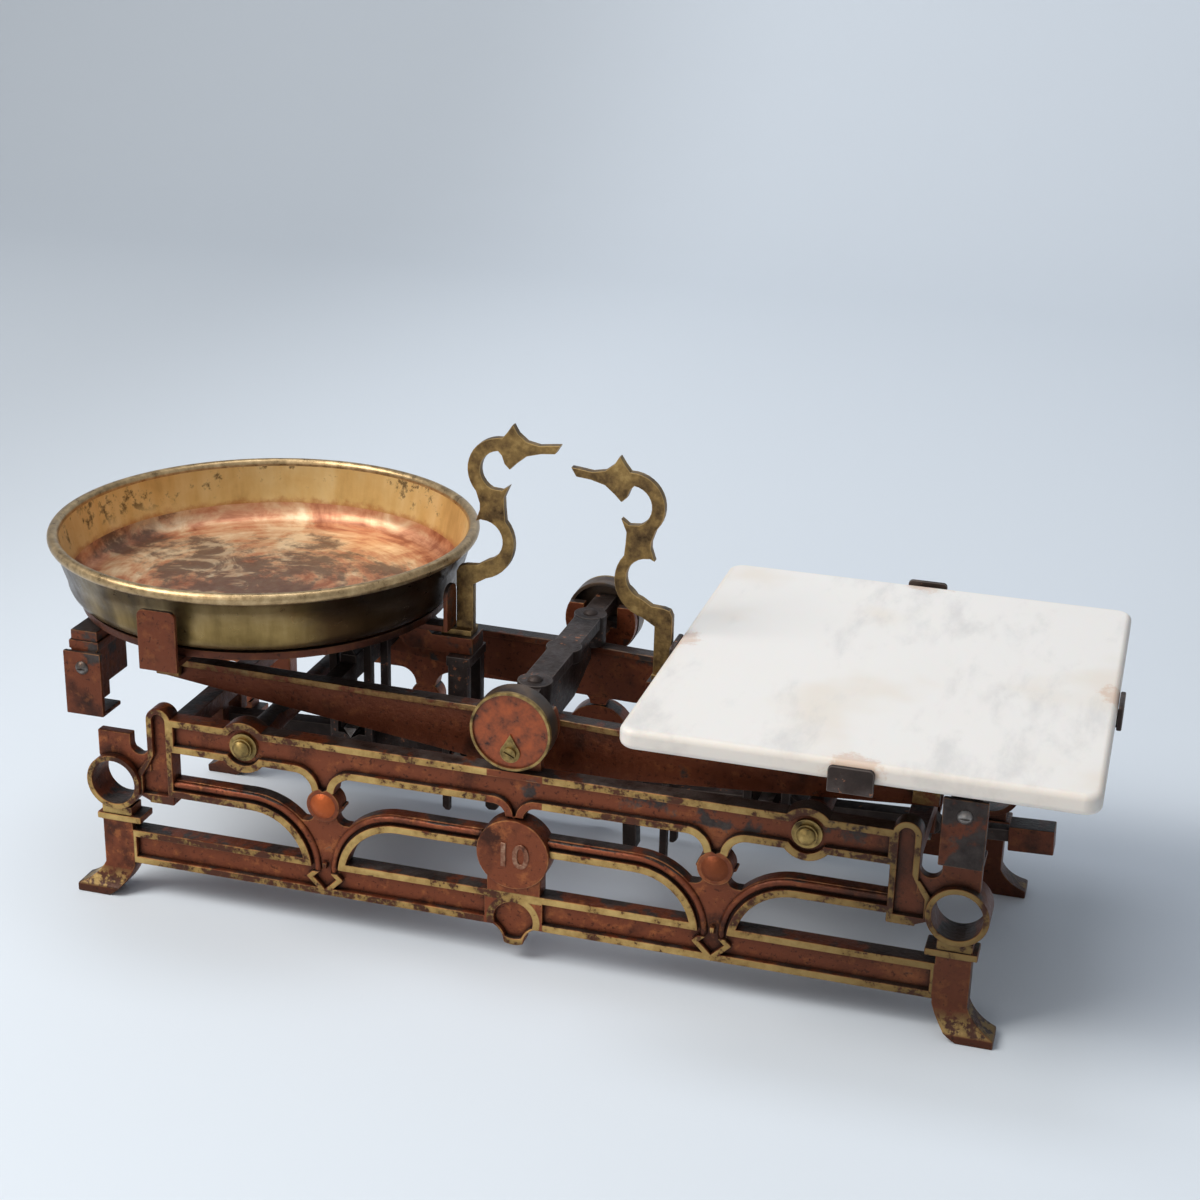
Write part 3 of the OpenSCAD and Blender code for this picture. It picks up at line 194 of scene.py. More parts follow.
def close_finish(add, base, metallic, roughness, height, depth_mm, constants=None):
    """Joins a finish's colour, gloss and height to its shader, and sets constants on the shader's sockets."""
    bump = add("Bump", {"Height": height, "Distance": depth_mm * MM, "Strength": 1.0})
    inputs = {"Base Color": base, "Metallic": metallic, "Roughness": roughness, "Normal": bump}
    add("OutputMaterial", {"Surface": add("BsdfPrincipled", inputs | (constants or {}))}, take=None)


def gilded_casting(name, gilded=True, bare=0.3, rub_and_glint=1.0, strip=False, soot=0.0):
    """Cast iron under red-brown bronze paint, brushed on by hand: a slightly pebbly skin with a soft
    metallic gloss, rubbed to bare iron on top, worn bright on its outer edges with a painted highlight along
    their crests, and darkened in its corners by painted shade. The raised front edges carry gold bronze
    paint, and with strip the front edges of the beam's flanges do. More bare shows more iron, more
    rub_and_glint brighter rubbed places and brighter painted highlights on the edges, and more soot a
    darker film of oil over all."""
    material, add = new_finish(name)
    place = add("TexCoord", take="Object")
    mm = add("VectorMath", {0: place, "Scale": 1 / MM}, operation="SCALE")
    folded = add("VectorMath", {0: mm}, operation="ABSOLUTE")
    along, out, up = add("SeparateXYZ", {0: folded}, take=None)
    facing = add("SeparateXYZ", {0: add("NewGeometry", take="Normal")}, take=None)
    blotch = add("TexNoise", {"Vector": place, "Scale": per_mm(34), "Detail": 6, "Roughness": 0.6})
    wear = add("TexNoise", {"Vector": place, "Scale": per_mm(9), "Detail": 8, "Roughness": 0.66})
    speck = add("TexNoise", {"Vector": place, "Scale": per_mm(2.4), "Detail": 6, "Roughness": 0.6})
    corner = add("AmbientOcclusion", {"Distance": 7 * MM}, samples=6, only_local=True, take="AO")
    crest = add("Attribute", attribute_name="edge_wear", take="Fac")
    long_wear = add("TexNoise", {"Vector": place, "Scale": per_mm(60), "Detail": 3})

    paint = add(
        "ValToRGB", {0: blotch},
        stops=[
            (0.32, colour("paint_dark")), (0.46, colour("paint")), (0.6, colour("paint")),
            (0.74, colour("paint_worn")),
        ],
    )
    # Rubbed places show warmer paint, small pits show dark primer
    rubbed = add("MapRange", {0: wear, 1: 0.52, 2: 0.68}, **SOFT)
    rubbed = add("Math", {0: rubbed, 1: 0.6 * rub_and_glint}, operation="MULTIPLY")
    paint = add("Mix", {0: rubbed, 6: paint, 7: colour("paint_worn")}, **TINT)
    pits = add("MapRange", {0: speck, 1: 0.42, 2: 0.34, 4: 0.7}, **SOFT)
    paint = add("Mix", {0: pits, 6: paint, 7: colour("paint_dark")}, **TINT)

    # Bare iron: on faces that look up, and in large rubbed patches
    top = add("MapRange", {0: facing[2], 1: 0.5, 2: 0.85, 4: 0.22}, **SOFT)
    patch = add("Math", {0: blotch, 1: top}, operation="ADD")
    ragged = add("Math", {0: wear, 1: 0.35}, operation="MULTIPLY")
    patch = add("Math", {0: patch, 1: ragged}, operation="ADD")
    if gilded:
        # Hands and loads have rubbed the right part of the top rail most
        side = add("SeparateXYZ", {0: mm})
        high = add("MapRange", {0: up, 1: 96, 2: 98, 4: 0.12})
        right = add("MapRange", {0: side, 1: -110, 2: 40})
        patch = add("Math", {0: high, 1: right, 2: patch}, operation="MULTIPLY_ADD")
    edge = 1.02 - bare
    patch = add("MapRange", {0: patch, 1: edge + 0.12, 2: edge + 0.2}, **SOFT)
    iron = add("ValToRGB", {0: wear}, stops=[(0.36, "#231a17"), (0.52, "#3f3531"), (0.7, colour("iron"))])
    base = add("Mix", {0: patch, 6: paint, 7: iron}, **TINT)
    metal = add("MapRange", {0: patch, 3: 0.5, 4: 0.35})

    if gilded or strip:
        if strip:
            gold = add("MapRange", {0: out, 1: 55.8, 2: 55.9, 4: 0.65})
            kept = add("MapRange", {0: wear, 1: 0.38, 2: 0.5})
            gold = add("Math", {0: gold, 1: kept}, operation="MULTIPLY")
        else:
            bed, gold = gilding_mask(add, folded, along, out, up, facing, wear, speck, long_wear)
            bed = add("Math", {0: bed, 1: 0.72}, operation="MULTIPLY")
            base = add("Mix", {0: bed, 6: base, 7: linear("#38241a")}, **TINT)
        age = add("Math", {0: wear, 1: long_wear}, operation="ADD")
        tarnish = add(
            "ValToRGB", {0: add("Math", {0: age, 1: 0.5}, operation="MULTIPLY")},
            stops=[(0.41, colour("gilding_dark")), (0.51, colour("gilding")), (0.62, "#c8a869")],
        )
        base = add("Mix", {0: gold, 6: base, 7: tarnish}, **TINT)
        shine = add("Math", {0: gold, 1: 0.6}, operation="MULTIPLY")
        metal = add("Math", {0: metal, 1: shine}, operation="MAXIMUM")
    if gilded:
        # Copper bronze on the two domes, darker on the right one
        flat = add("VectorMath", {0: folded, 1: (1, 0, 1)}, operation="MULTIPLY")
        away = add("VectorMath", {0: flat, 1: DOME}, operation="DISTANCE", take="Value")
        dome = add("MapRange", {0: away, 1: 7.5, 2: 7.1})
        proud = add("MapRange", {0: out, 1: 83.9, 2: 84.1})
        dome = add("Math", {0: dome, 1: proud}, operation="MULTIPLY")
        dull = add("MapRange", {0: side, 1: -1, 2: 1, 3: 0.0, 4: 0.6})
        bronze = add("Mix", {0: dull, 6: colour("copper"), 7: linear("#54301f")}, **TINT)
        base = add("Mix", {0: dome, 6: base, 7: bronze}, **TINT)
        shine = add("Math", {0: dome, 1: 0.65}, operation="MULTIPLY")
        metal = add("Math", {0: metal, 1: shine}, operation="MAXIMUM")

    # Outer edges: rubbed to bright metal here and there, with a painted highlight along their crests
    chafed = add("MapRange", {0: wear, 1: 0.42, 2: 0.6})
    crest = add("Math", {0: crest, 1: chafed}, operation="MULTIPLY")
    crest = add("Math", {0: crest, 1: 0.85 * rub_and_glint}, operation="MULTIPLY")
    base = add("Mix", {0: crest, 6: base, 7: linear("#c08451")}, **TINT)
    metal = add("Math", {0: metal, 1: crest}, operation="MAXIMUM")
    # Painted shade in the corners, from ambient occlusion
    corner_shade = add("MapRange", {0: corner, 1: 0.4, 2: 0.92, 3: 0.92, 4: 0.0}, **SOFT)
    base = add("Mix", {0: corner_shade, 6: base, 7: linear("#1a0f0a")}, **TINT)
    if gilded:
        # Darker towards the right end and towards the bottom of the feet
        end = add("MapRange", {0: side, 1: 40, 2: 230, 4: 0.38}, **SOFT)
        foot = add("MapRange", {0: up, 1: 14, 2: 3, 4: 0.45}, **SOFT)
        film = add("Math", {0: end, 1: foot}, operation="MAXIMUM")
        film = add("Math", {0: film, 1: wear, 2: film}, operation="MULTIPLY_ADD", use_clamp=True)
        base = add("Mix", {0: film, 6: base, 7: linear("#24170f")}, **TINT)
    if soot:
        film = add("MapRange", {0: blotch, 1: 0.35, 2: 0.65, 3: soot * 1.3, 4: soot * 0.7})
        base = add("Mix", {0: film, 6: base, 7: linear("#1a100b")}, **TINT)
    rough = add("MapRange", {0: wear, 1: 0.3, 2: 0.7, 3: 0.3, 4: 0.52})
    height = add("Math", {0: speck, 1: wear}, operation="ADD")
    close_finish(add, base, metal, rough, height, 0.35, {"Specular IOR Level": 0.35})
    return material


def gilding_mask(add, folded, along, out, up, facing, wear, speck, long_wear):
    """Where a casting was gilded, and where the gilding is left: the flats of its raised front edges, its
    ring rims and its toes, but not its legs, shield or domes."""
    front = add("MapRange", {0: out, 1: 83.35, 2: 83.75})
    step = add("MapRange", {0: out, 1: 86.0, 2: 85.7})
    front = add("Math", {0: front, 1: step}, operation="MULTIPLY")
    # Brushed on the flats: the rounded edges beside them stay dark
    level = add("Math", {0: facing[1]}, operation="ABSOLUTE")
    level = add("Math", {0: wear, 1: 0.3, 2: level}, operation="MULTIPLY_ADD")
    level = add("MapRange", {0: level, 1: 1.02, 2: 1.1})
    front = add("Math", {0: front, 1: level}, operation="MULTIPLY")
    # Legs stay red-brown
    outer = add("MapRange", {0: along, 1: 225.2, 2: 225.8})
    low = add("MapRange", {0: up, 1: 45.4, 2: 45.0})
    leg = add("Math", {0: outer, 1: low}, operation="MULTIPLY")
    front = add("Math", {0: front, 1: leg}, operation="SUBTRACT", use_clamp=True)
    # Discs behind the domes stay red-brown
    flat = add("VectorMath", {0: folded, 1: (1, 0, 1)}, operation="MULTIPLY")
    away = add("VectorMath", {0: flat, 1: DOME}, operation="DISTANCE", take="Value")
    disc = add("MapRange", {0: away, 1: 9.6, 2: 10.0})
    front = add("Math", {0: front, 1: disc}, operation="MULTIPLY")
    # The web under the shield stays red-brown
    near = add("MapRange", {0: along, 1: 15.6, 2: 15.2})
    plain = add("MapRange", {0: up, 1: 40.6, 2: 41.2})
    plain = add("Math", {0: plain, 1: near}, operation="MULTIPLY")
    front = add("Math", {0: front, 1: plain}, operation="SUBTRACT", use_clamp=True)
    # Round the pendant only its own rim and the rail's upper edge are gilded
    ring = add("VectorMath", {0: flat, 1: PENDANT}, operation="DISTANCE", take="Value")
    beyond = add("MapRange", {0: ring, 1: 14.8, 2: 15.3})
    below = add("MapRange", {0: up, 1: 36.6, 2: 36.0})
    beside = add("MapRange", {0: along, 1: 16.9, 2: 16.3})
    gap = add("Math", {0: beyond, 1: below}, operation="MULTIPLY")
    gap = add("Math", {0: gap, 1: beside}, operation="MULTIPLY")
    front = add("Math", {0: front, 1: gap}, operation="SUBTRACT", use_clamp=True)
    # Rims of the rings
    rim = add("MapRange", {0: out, 1: 85.9, 2: 86.3})
    outside = add("MapRange", {0: along, 1: 210, 2: 211})
    high = add("MapRange", {0: up, 1: 50, 2: 51})
    rim = add("Math", {0: rim, 1: outside}, operation="MULTIPLY")
    rim = add("Math", {0: rim, 1: high}, operation="MULTIPLY")
    gold = add("Math", {0: front, 1: rim}, operation="MAXIMUM")
    # Upper faces of the toes
    toe = add("MapRange", {0: up, 1: 17.5, 2: 16.5})
    toe = add("Math", {0: toe, 1: outer}, operation="MULTIPLY")
    upward = add("MapRange", {0: facing[2], 1: 0.25, 2: 0.45})
    toe = add("Math", {0: toe, 1: upward}, operation="MULTIPLY")
    gold = add("Math", {0: gold, 1: toe}, operation="MAXIMUM")
    # Worn through in places, to the dark primer under it, and most of all on the toes
    tired = add("Math", {0: wear, 1: 0.65}, operation="MULTIPLY")
    tired = add("Math", {0: speck, 1: 0.35, 2: tired}, operation="MULTIPLY_ADD")
    tired = add("Math", {0: long_wear, 1: 0.45, 2: tired}, operation="MULTIPLY_ADD")
    tired = add("Math", {0: toe, 1: -0.06, 2: tired}, operation="MULTIPLY_ADD")
    kept = add("MapRange", {0: tired, 1: 0.65, 2: 0.72}, **SOFT)
    return gold, add("Math", {0: gold, 1: kept}, operation="MULTIPLY")


def bare_cast_iron(name, rust=0.5):
    """Bare cast iron, handled for a century: dark grey-brown with a dull gloss and a little orange rust."""
    material, add = new_finish(name)
    place = add("TexCoord", take="Object")
    blotch = add("TexNoise", {"Vector": place, "Scale": per_mm(26), "Detail": 7, "Roughness": 0.62})
    speck = add("TexNoise", {"Vector": place, "Scale": per_mm(3), "Detail": 7, "Roughness": 0.6})
    corner = add("AmbientOcclusion", {"Distance": 7 * MM}, samples=6, only_local=True, take="AO")
    skin = add("ValToRGB", {0: blotch}, stops=[(0.32, "#1f1714"), (0.5, "#382c27"), (0.68, colour("iron"))])
    bloom = add("Math", {0: blotch, 1: speck}, operation="ADD")
    bloom = add("MapRange", {0: bloom, 1: 1.16, 2: 1.26, 4: rust}, **SOFT)
    base = add("Mix", {0: bloom, 6: skin, 7: colour("paint_worn")}, **TINT)
    crest = add("Attribute", attribute_name="edge_wear", take="Fac")
    crest = add("Math", {0: crest, 1: 0.5}, operation="MULTIPLY")
    base = add("Mix", {0: crest, 6: base, 7: linear("#7d726c")}, **TINT)
    # Painted shade in the corners, from ambient occlusion
    corner_shade = add("MapRange", {0: corner, 1: 0.3, 2: 0.85, 3: 0.7, 4: 0.0}, **SOFT)
    base = add("Mix", {0: corner_shade, 6: base, 7: linear("#17110f")}, **TINT)
    metal = add("MapRange", {0: bloom, 1: 0, 2: 0.3, 3: 0.6, 4: 0.0})
    rough = add("MapRange", {0: speck, 1: 0.3, 2: 0.7, 3: 0.4, 4: 0.62})
    close_finish(add, base, metal, rough, speck, 0.3)
    return material


def capped_drum(name):
    """Drum cap of cast iron: a polished brass-coloured rim round a disc of spotted copper bronze paint."""
    material, add = new_finish(name)
    place = add("TexCoord", take="Object")
    mm = add("VectorMath", {0: place, "Scale": 1 / MM}, operation="SCALE")
    flat = add("VectorMath", {0: mm, 1: (1, 0, 1)}, operation="MULTIPLY")
    away = add("VectorMath", {0: flat, 1: MAIN_KNIFE}, operation="DISTANCE", take="Value")
    folded = add("VectorMath", {0: mm}, operation="ABSOLUTE")
    out = add("SeparateXYZ", {0: folded}, take=1)
    wear = add("TexNoise", {"Vector": place, "Scale": per_mm(7), "Detail": 7, "Roughness": 0.6})
    blotch = add("TexNoise", {"Vector": place, "Scale": per_mm(22), "Detail": 5})
    disc = add(
        "ValToRGB", {0: wear},
        stops=[(0.33, "#2b1812"), (0.42, "#7a3d22"), (0.58, "#a04f2a"), (0.74, colour("copper"))],
    )
    side = add("ValToRGB", {0: blotch}, stops=[(0.35, "#3b2a24"), (0.5, "#6a5646"), (0.65, "#55504e")])
    rim = add("ValToRGB", {0: wear}, stops=[(0.3, "#4a3a24"), (0.45, "#8a7145"), (0.65, "#b89a60")])
    inner = add("MapRange", {0: away, 1: 20.7, 2: 20.3})
    base = add("Mix", {0: inner, 6: rim, 7: disc}, **TINT)
    face = add("MapRange", {0: out, 1: 89.6, 2: 90.4})
    base = add("Mix", {0: face, 6: side, 7: base}, **TINT)
    # Painted shade in the corners, from ambient occlusion
    corner = add("AmbientOcclusion", {"Distance": 5 * MM}, samples=6, only_local=True, take="AO")
    corner_shade = add("MapRange", {0: corner, 1: 0.4, 2: 0.85, 3: 0.6, 4: 0.0})
    base = add("Mix", {0: corner_shade, 6: base, 7: linear("#1d120e")}, **TINT)
    metal = add("MapRange", {0: inner, 3: 0.75, 4: 0.35})
    rough = add("MapRange", {0: wear, 1: 0.3, 2: 0.7, 3: 0.3, 4: 0.5})
    close_finish(add, base, metal, rough, wear, 0.2)
    return material


def aged_brass(name, colours, size_mm=8, rough=(0.3, 0.52), depth_mm=0.15, metallic=0.85):
    """Brass with years of tarnish: yellow where hands polish it, brown to olive elsewhere, softly glossy."""
    material, add = new_finish(name)
    place = add("TexCoord", take="Object")
    cloud = add("TexNoise", {"Vector": place, "Scale": per_mm(size_mm * 3), "Detail": 6, "Roughness": 0.6})
    wear = add("TexNoise", {"Vector": place, "Scale": per_mm(size_mm), "Detail": 8, "Roughness": 0.65})
    both = add("Math", {0: cloud, 1: wear}, operation="ADD")
    both = add("Math", {0: both, 1: 0.5}, operation="MULTIPLY")
    base = add("ValToRGB", {0: both}, stops=list(zip([0.36, 0.46, 0.55, 0.66], colours)))
    crest = add("Attribute", attribute_name="edge_wear", take="Fac")
    crest = add("Math", {0: crest, 1: 0.6}, operation="MULTIPLY")
    base = add("Mix", {0: crest, 6: base, 7: linear("#c9a871")}, **TINT)
    # Painted shade in the corners, from ambient occlusion
    corner = add("AmbientOcclusion", {"Distance": 4 * MM}, samples=6, only_local=True, take="AO")
    corner_shade = add("MapRange", {0: corner, 1: 0.4, 2: 0.85, 3: 0.55, 4: 0.0})
    base = add("Mix", {0: corner_shade, 6: base, 7: linear("#241a10")}, **TINT)
    gloss = add("MapRange", {0: wear, 1: 0.3, 2: 0.7, 3: rough[0], 4: rough[1]})
    close_finish(add, base, metallic, gloss, wear, depth_mm)
    return material


def ground_steel(name):
    """Hardened steel, ground to an edge: fine scratches about 0.5 mm apart and a film of brown oil."""
    material, add = new_finish(name)
    place = add("TexCoord", take="Object")
    stretch = add("Mapping", {"Vector": place, "Scale": (1, 0.05, 1)})
    scratch = add("TexNoise", {"Vector": stretch, "Scale": per_mm(0.5), "Detail": 4})
    film = add("TexNoise", {"Vector": place, "Scale": per_mm(9), "Detail": 6})
    base = add("ValToRGB", {0: film}, stops=[(0.35, "#4a3d35"), (0.55, "#85807c"), (0.7, "#a09c98")])
    rough = add("MapRange", {0: scratch, 1: 0.3, 2: 0.7, 3: 0.28, 4: 0.48})
    close_finish(add, base, 0.9, rough, scratch, 0.05)
    return material


# Pieces


def merged_copy(node):
    """The mesh of a CAD node with its loose triangles joined and its flat faces made whole and split anew."""
    shape = bmesh.new()
    shape.from_mesh(frame["nodes"][node].data)
    bmesh.ops.remove_doubles(shape, verts=shape.verts, dist=WELD)
    bmesh.ops.dissolve_limit(
        shape, angle_limit=FLAT, verts=shape.verts, edges=shape.edges, use_dissolve_boundaries=False
    )
    bmesh.ops.triangulate(shape, faces=shape.faces, quad_method="BEAUTY", ngon_method="BEAUTY")
    return shape


def finish_piece(shape, name, materials, body, slot, *nodes):
    """Makes a piece of a bmesh, with its finish, and lets it ride on its body in place of the CAD nodes."""
    mesh = bpy.data.meshes.new(name)
    shape.to_mesh(mesh)
    shape.free()
    piece = bpy.data.objects.new(name, mesh)
    bpy.context.scene.collection.objects.link(piece)
    for material in materials:
        mesh.materials.append(material)
    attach(piece, body)
    if nodes:
        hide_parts(*nodes)
    return piece


def rounded_piece(node, material, radius):
    """A CAD node with its outer edges rounded, as a casting, forging or stamping has them. The attribute
    edge_wear says how near the crest of such an edge each point lies, for the finishes."""
    shape = merged_copy(node)
    shape.verts.layers.float.new("edge_wear")
    edges = [e for e in shape.edges if len(e.link_faces) == 2 and e.calc_face_angle_signed(0) > SHARP]
    if radius:
        rounded = bmesh.ops.bevel(
            shape, geom=edges, offset=radius, offset_type="OFFSET", segments=2, profile=0.5, affect="EDGES",
            clamp_overlap=False, material=-1, loop_slide=False,
        )
        curved = set(rounded["faces"])
        crest = shape.verts.layers.float["edge_wear"]
        for vert in rounded["verts"]:
            vert[crest] = float(all(face in curved for face in vert.link_faces))
    for face in shape.faces:
        face.smooth = True
    for edge in shape.edges:
        edge.smooth = len(edge.link_faces) == 2 and edge.calc_face_angle(0) < SHARP
    piece = finish_piece(shape, node + "_piece", [material], BODY[node], SLOT[node], node)
    modifier = piece.modifiers.new("Even shading", "WEIGHTED_NORMAL")
    modifier.keep_sharp = True
    return piece


BODY = {node: body for body, nodes in frame["record"]["behaviour"]["bodies"].items() for node in nodes}
SLOT = {part["node"]: part["material_slot"] for part in frame["record"]["subparts"]}


def dress(operator, finish, radius, nodes):
    """Rounds and finishes several CAD nodes alike."""
    for node in nodes:
        rounded_piece(node, finish, radius)
    operator.report({"INFO"}, f"{len(nodes)} pieces")
    return {"FINISHED"}


class BalanceCastings(bpy.types.Operator):
    """Rounds the two side castings and paints them red-brown with gilded edges"""

    bl_idname = "balance.castings"
    bl_label = "Side castings"

    def execute(self, context):
        radius = context.scene.balance_sizes.casting_round
        paint = gilded_casting("Gilded enamel on cast iron")
        return dress(self, paint, radius, ["front_side_frame", "rear_side_frame"])


class BalanceBracing(bpy.types.Operator):
    """Dresses the spacer tubes, the bars across the frame and the drum caps"""

    bl_idname = "balance.bracing"
    bl_label = "Bars, tubes and drum caps"

    def execute(self, context):
        radius = context.scene.balance_sizes.iron_round
        paint = gilded_casting("Enamel on cast iron bars", gilded=False, bare=0.3, rub_and_glint=0.6, soot=0.55)
        dress(self, paint, radius, ["spacer_tubes", "left_fulcrum_bar", "right_fulcrum_bar"])
        drum = capped_drum("Copper bronze on cast iron")
        return dress(self, drum, radius * 0.6, ["front_bearing_cap", "rear_bearing_cap"])


class BalanceFittings(bpy.types.Operator):
    """Dresses the nuts, washers, lugs and screws"""

    bl_idname = "balance.fittings"
    bl_label = "Nuts, washers and screws"

    def execute(self, context):
        yellow = aged_brass("Turned brass", ["#3f3220", "#7d683e", "#a08650", "#c9ac70"], size_mm=5)
        dress(self, yellow, 0.25 * MM, ["tie_nuts", "tie_washers", "cap_lugs", "cap_screws"])
        steel = ground_steel("Ground steel")
        screws = ["left_guard_screws", "right_guard_screws", "left_pointer_screw", "right_pointer_screw"]
        dress(self, steel, 0.2 * MM, ["tie_rods", *screws])
        # Knives and bearings keep their ground edges
        knives = ["main_knives", "end_knives", "left_lever_knives", "right_lever_knives"]
        return dress(self, steel, 0, ["main_bearings", *knives])


class BalanceBeam(bpy.types.Operator):
    """Dresses the beam's two rails, its cross bar and its link bars"""

    bl_idname = "balance.beam"
    bl_label = "Beam"

    def execute(self, context):
        radius = context.scene.balance_sizes.iron_round
        paint = gilded_casting(
            "Worn enamel on iron", gilded=False, bare=0.36, rub_and_glint=0.6, strip=True, soot=0.3
        )
        dress(self, paint, radius, ["front_beam_rail", "rear_beam_rail"])
        iron = bare_cast_iron("Bare cast iron of the beam")
        return dress(
            self, iron, radius, ["beam_cross_bar", "beam_rivets", "left_link_bar", "right_link_bar"]
        )


class BalanceCarriers(bpy.types.Operator):
    """Dresses the two carriers with their rests, clips and guard plates"""

    bl_idname = "balance.carriers"
    bl_label = "Carriers"

    def execute(self, context):
        radius = context.scene.balance_sizes.iron_round
        paint = gilded_casting(
            "Worn enamel on the left carrier", gilded=False, bare=0.4, rub_and_glint=0.7, soot=0.28
        )
        dress(self, paint, radius, ["left_carrier", "pan_clips", "left_guard_plates"])
        paint = gilded_casting(
            "Worn enamel on the right carrier", gilded=False, bare=0.53, rub_and_glint=0.7, soot=0.4
        )
        dress(self, paint, radius, ["right_carrier", "right_guard_plates"])
        paint = gilded_casting("Oily enamel under the pan", gilded=False, bare=0.3, rub_and_glint=0.5, soot=0.6)
        dress(self, paint, radius, ["pan_rest"])
        iron = bare_cast_iron("Bare cast iron of the carriers", rust=0.8)
        return dress(self, iron, radius, ["slab_rest", "slab_clips", "left_inner_leg", "right_inner_leg"])


class BalanceLevers(bpy.types.Operator):
    """Dresses the lower levers, the trim block and the shackles"""

    bl_idname = "balance.levers"
    bl_label = "Lower levers"

    def execute(self, context):
        radius = context.scene.balance_sizes.iron_round
        paint = gilded_casting("Oily enamel on the trim block", gilded=False, bare=0.4, rub_and_glint=0.6, soot=0.5)
        dress(self, paint, radius, ["tare_block"])
        iron = bare_cast_iron("Bare cast iron of the levers", rust=0.7)
        return dress(
            self, iron, radius, ["left_lower_lever", "right_lower_lever", "left_shackle", "right_shackle"]
        )


class BalancePointers(bpy.types.Operator):
    """Dresses the two swan-neck pointers"""

    bl_idname = "balance.pointers"
    bl_label = "Pointers"

    def execute(self, context):
        colours = ["#38291a", "#6b5334", "#8f7245", "#b4965f"]
        brass = aged_brass("Cast brass", colours, size_mm=6, rough=(0.32, 0.52), depth_mm=0.35)
        return dress(self, brass, 0.55 * MM, ["left_pointer", "right_pointer"])


class BalancePan(bpy.types.Operator):
    """Spins the brass pan from its half section"""

    bl_idname = "balance.pan"
    bl_label = "Pan"

    def execute(self, context):
        low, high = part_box("weighing_pan")
        centre = Vector(((low.x + high.x) / 2, (low.y + high.y) / 2, low.z))
        rim_radius = (high.x - low.x) / 2
        height = high.z - low.z
        sheet, corner, roll = 1.4 * MM, 12 * MM, 3.2 * MM
        floor_radius, flat_radius = 99 * MM, 94 * MM
        shape = bmesh.new()
        # Outer side: floor, round corner, leaning wall, rolled rim; then back down the inner side
        points = [(0.0, 0.0), (floor_radius, 0.0)]
        points += arc(floor_radius, corner, corner, -75, 1, 15)
        roll_x, roll_z = rim_radius - roll, height - roll
        points += arc(roll_x, roll_z, roll, -95, 200, 18)
        points += arc(floor_radius, corner, corner - sheet, 0, -91, -15)
        points += [(flat_radius, sheet), (0.0, sheet)]
        row = [shape.verts.new((centre.x + r, centre.y, centre.z + z)) for r, z in points]
        section = [shape.edges.new(pair) for pair in zip(row, row[1:])]
        bmesh.ops.spin(
            shape, geom=row + section, cent=centre, axis=(0, 0, 1), angle=math.tau, steps=160,
            use_merge=True, use_duplicate=False,
        )
        bmesh.ops.remove_doubles(shape, verts=shape.verts, dist=0.01 * MM)
        bmesh.ops.recalc_face_normals(shape, faces=shape.faces)
        for face in shape.faces:
            face.smooth = True
            middle = face.calc_center_median() - centre
            radius = math.hypot(middle.x, middle.y)
            inward = face.normal.x * middle.x + face.normal.y * middle.y < 0
            if middle.z > height - 2 * roll - 0.5 * MM and radius > rim_radius - 2.2 * roll:
                face.material_index = 1
            elif inward or (face.normal.z > 0 and middle.z > sheet / 2):
                face.material_index = 3 if middle.z < corner else 2
        finishes = [
            spun_brass("Spun brass outside", "outside"), spun_brass("Spun brass rim", "rim"),
            spun_brass("Spun brass inside", "wall"), spun_brass("Stained brass floor", "floor"),
        ]
        finish_piece(shape, "pan_piece", finishes, "pan", "pan_brass", "weighing_pan")
        return {"FINISHED"}


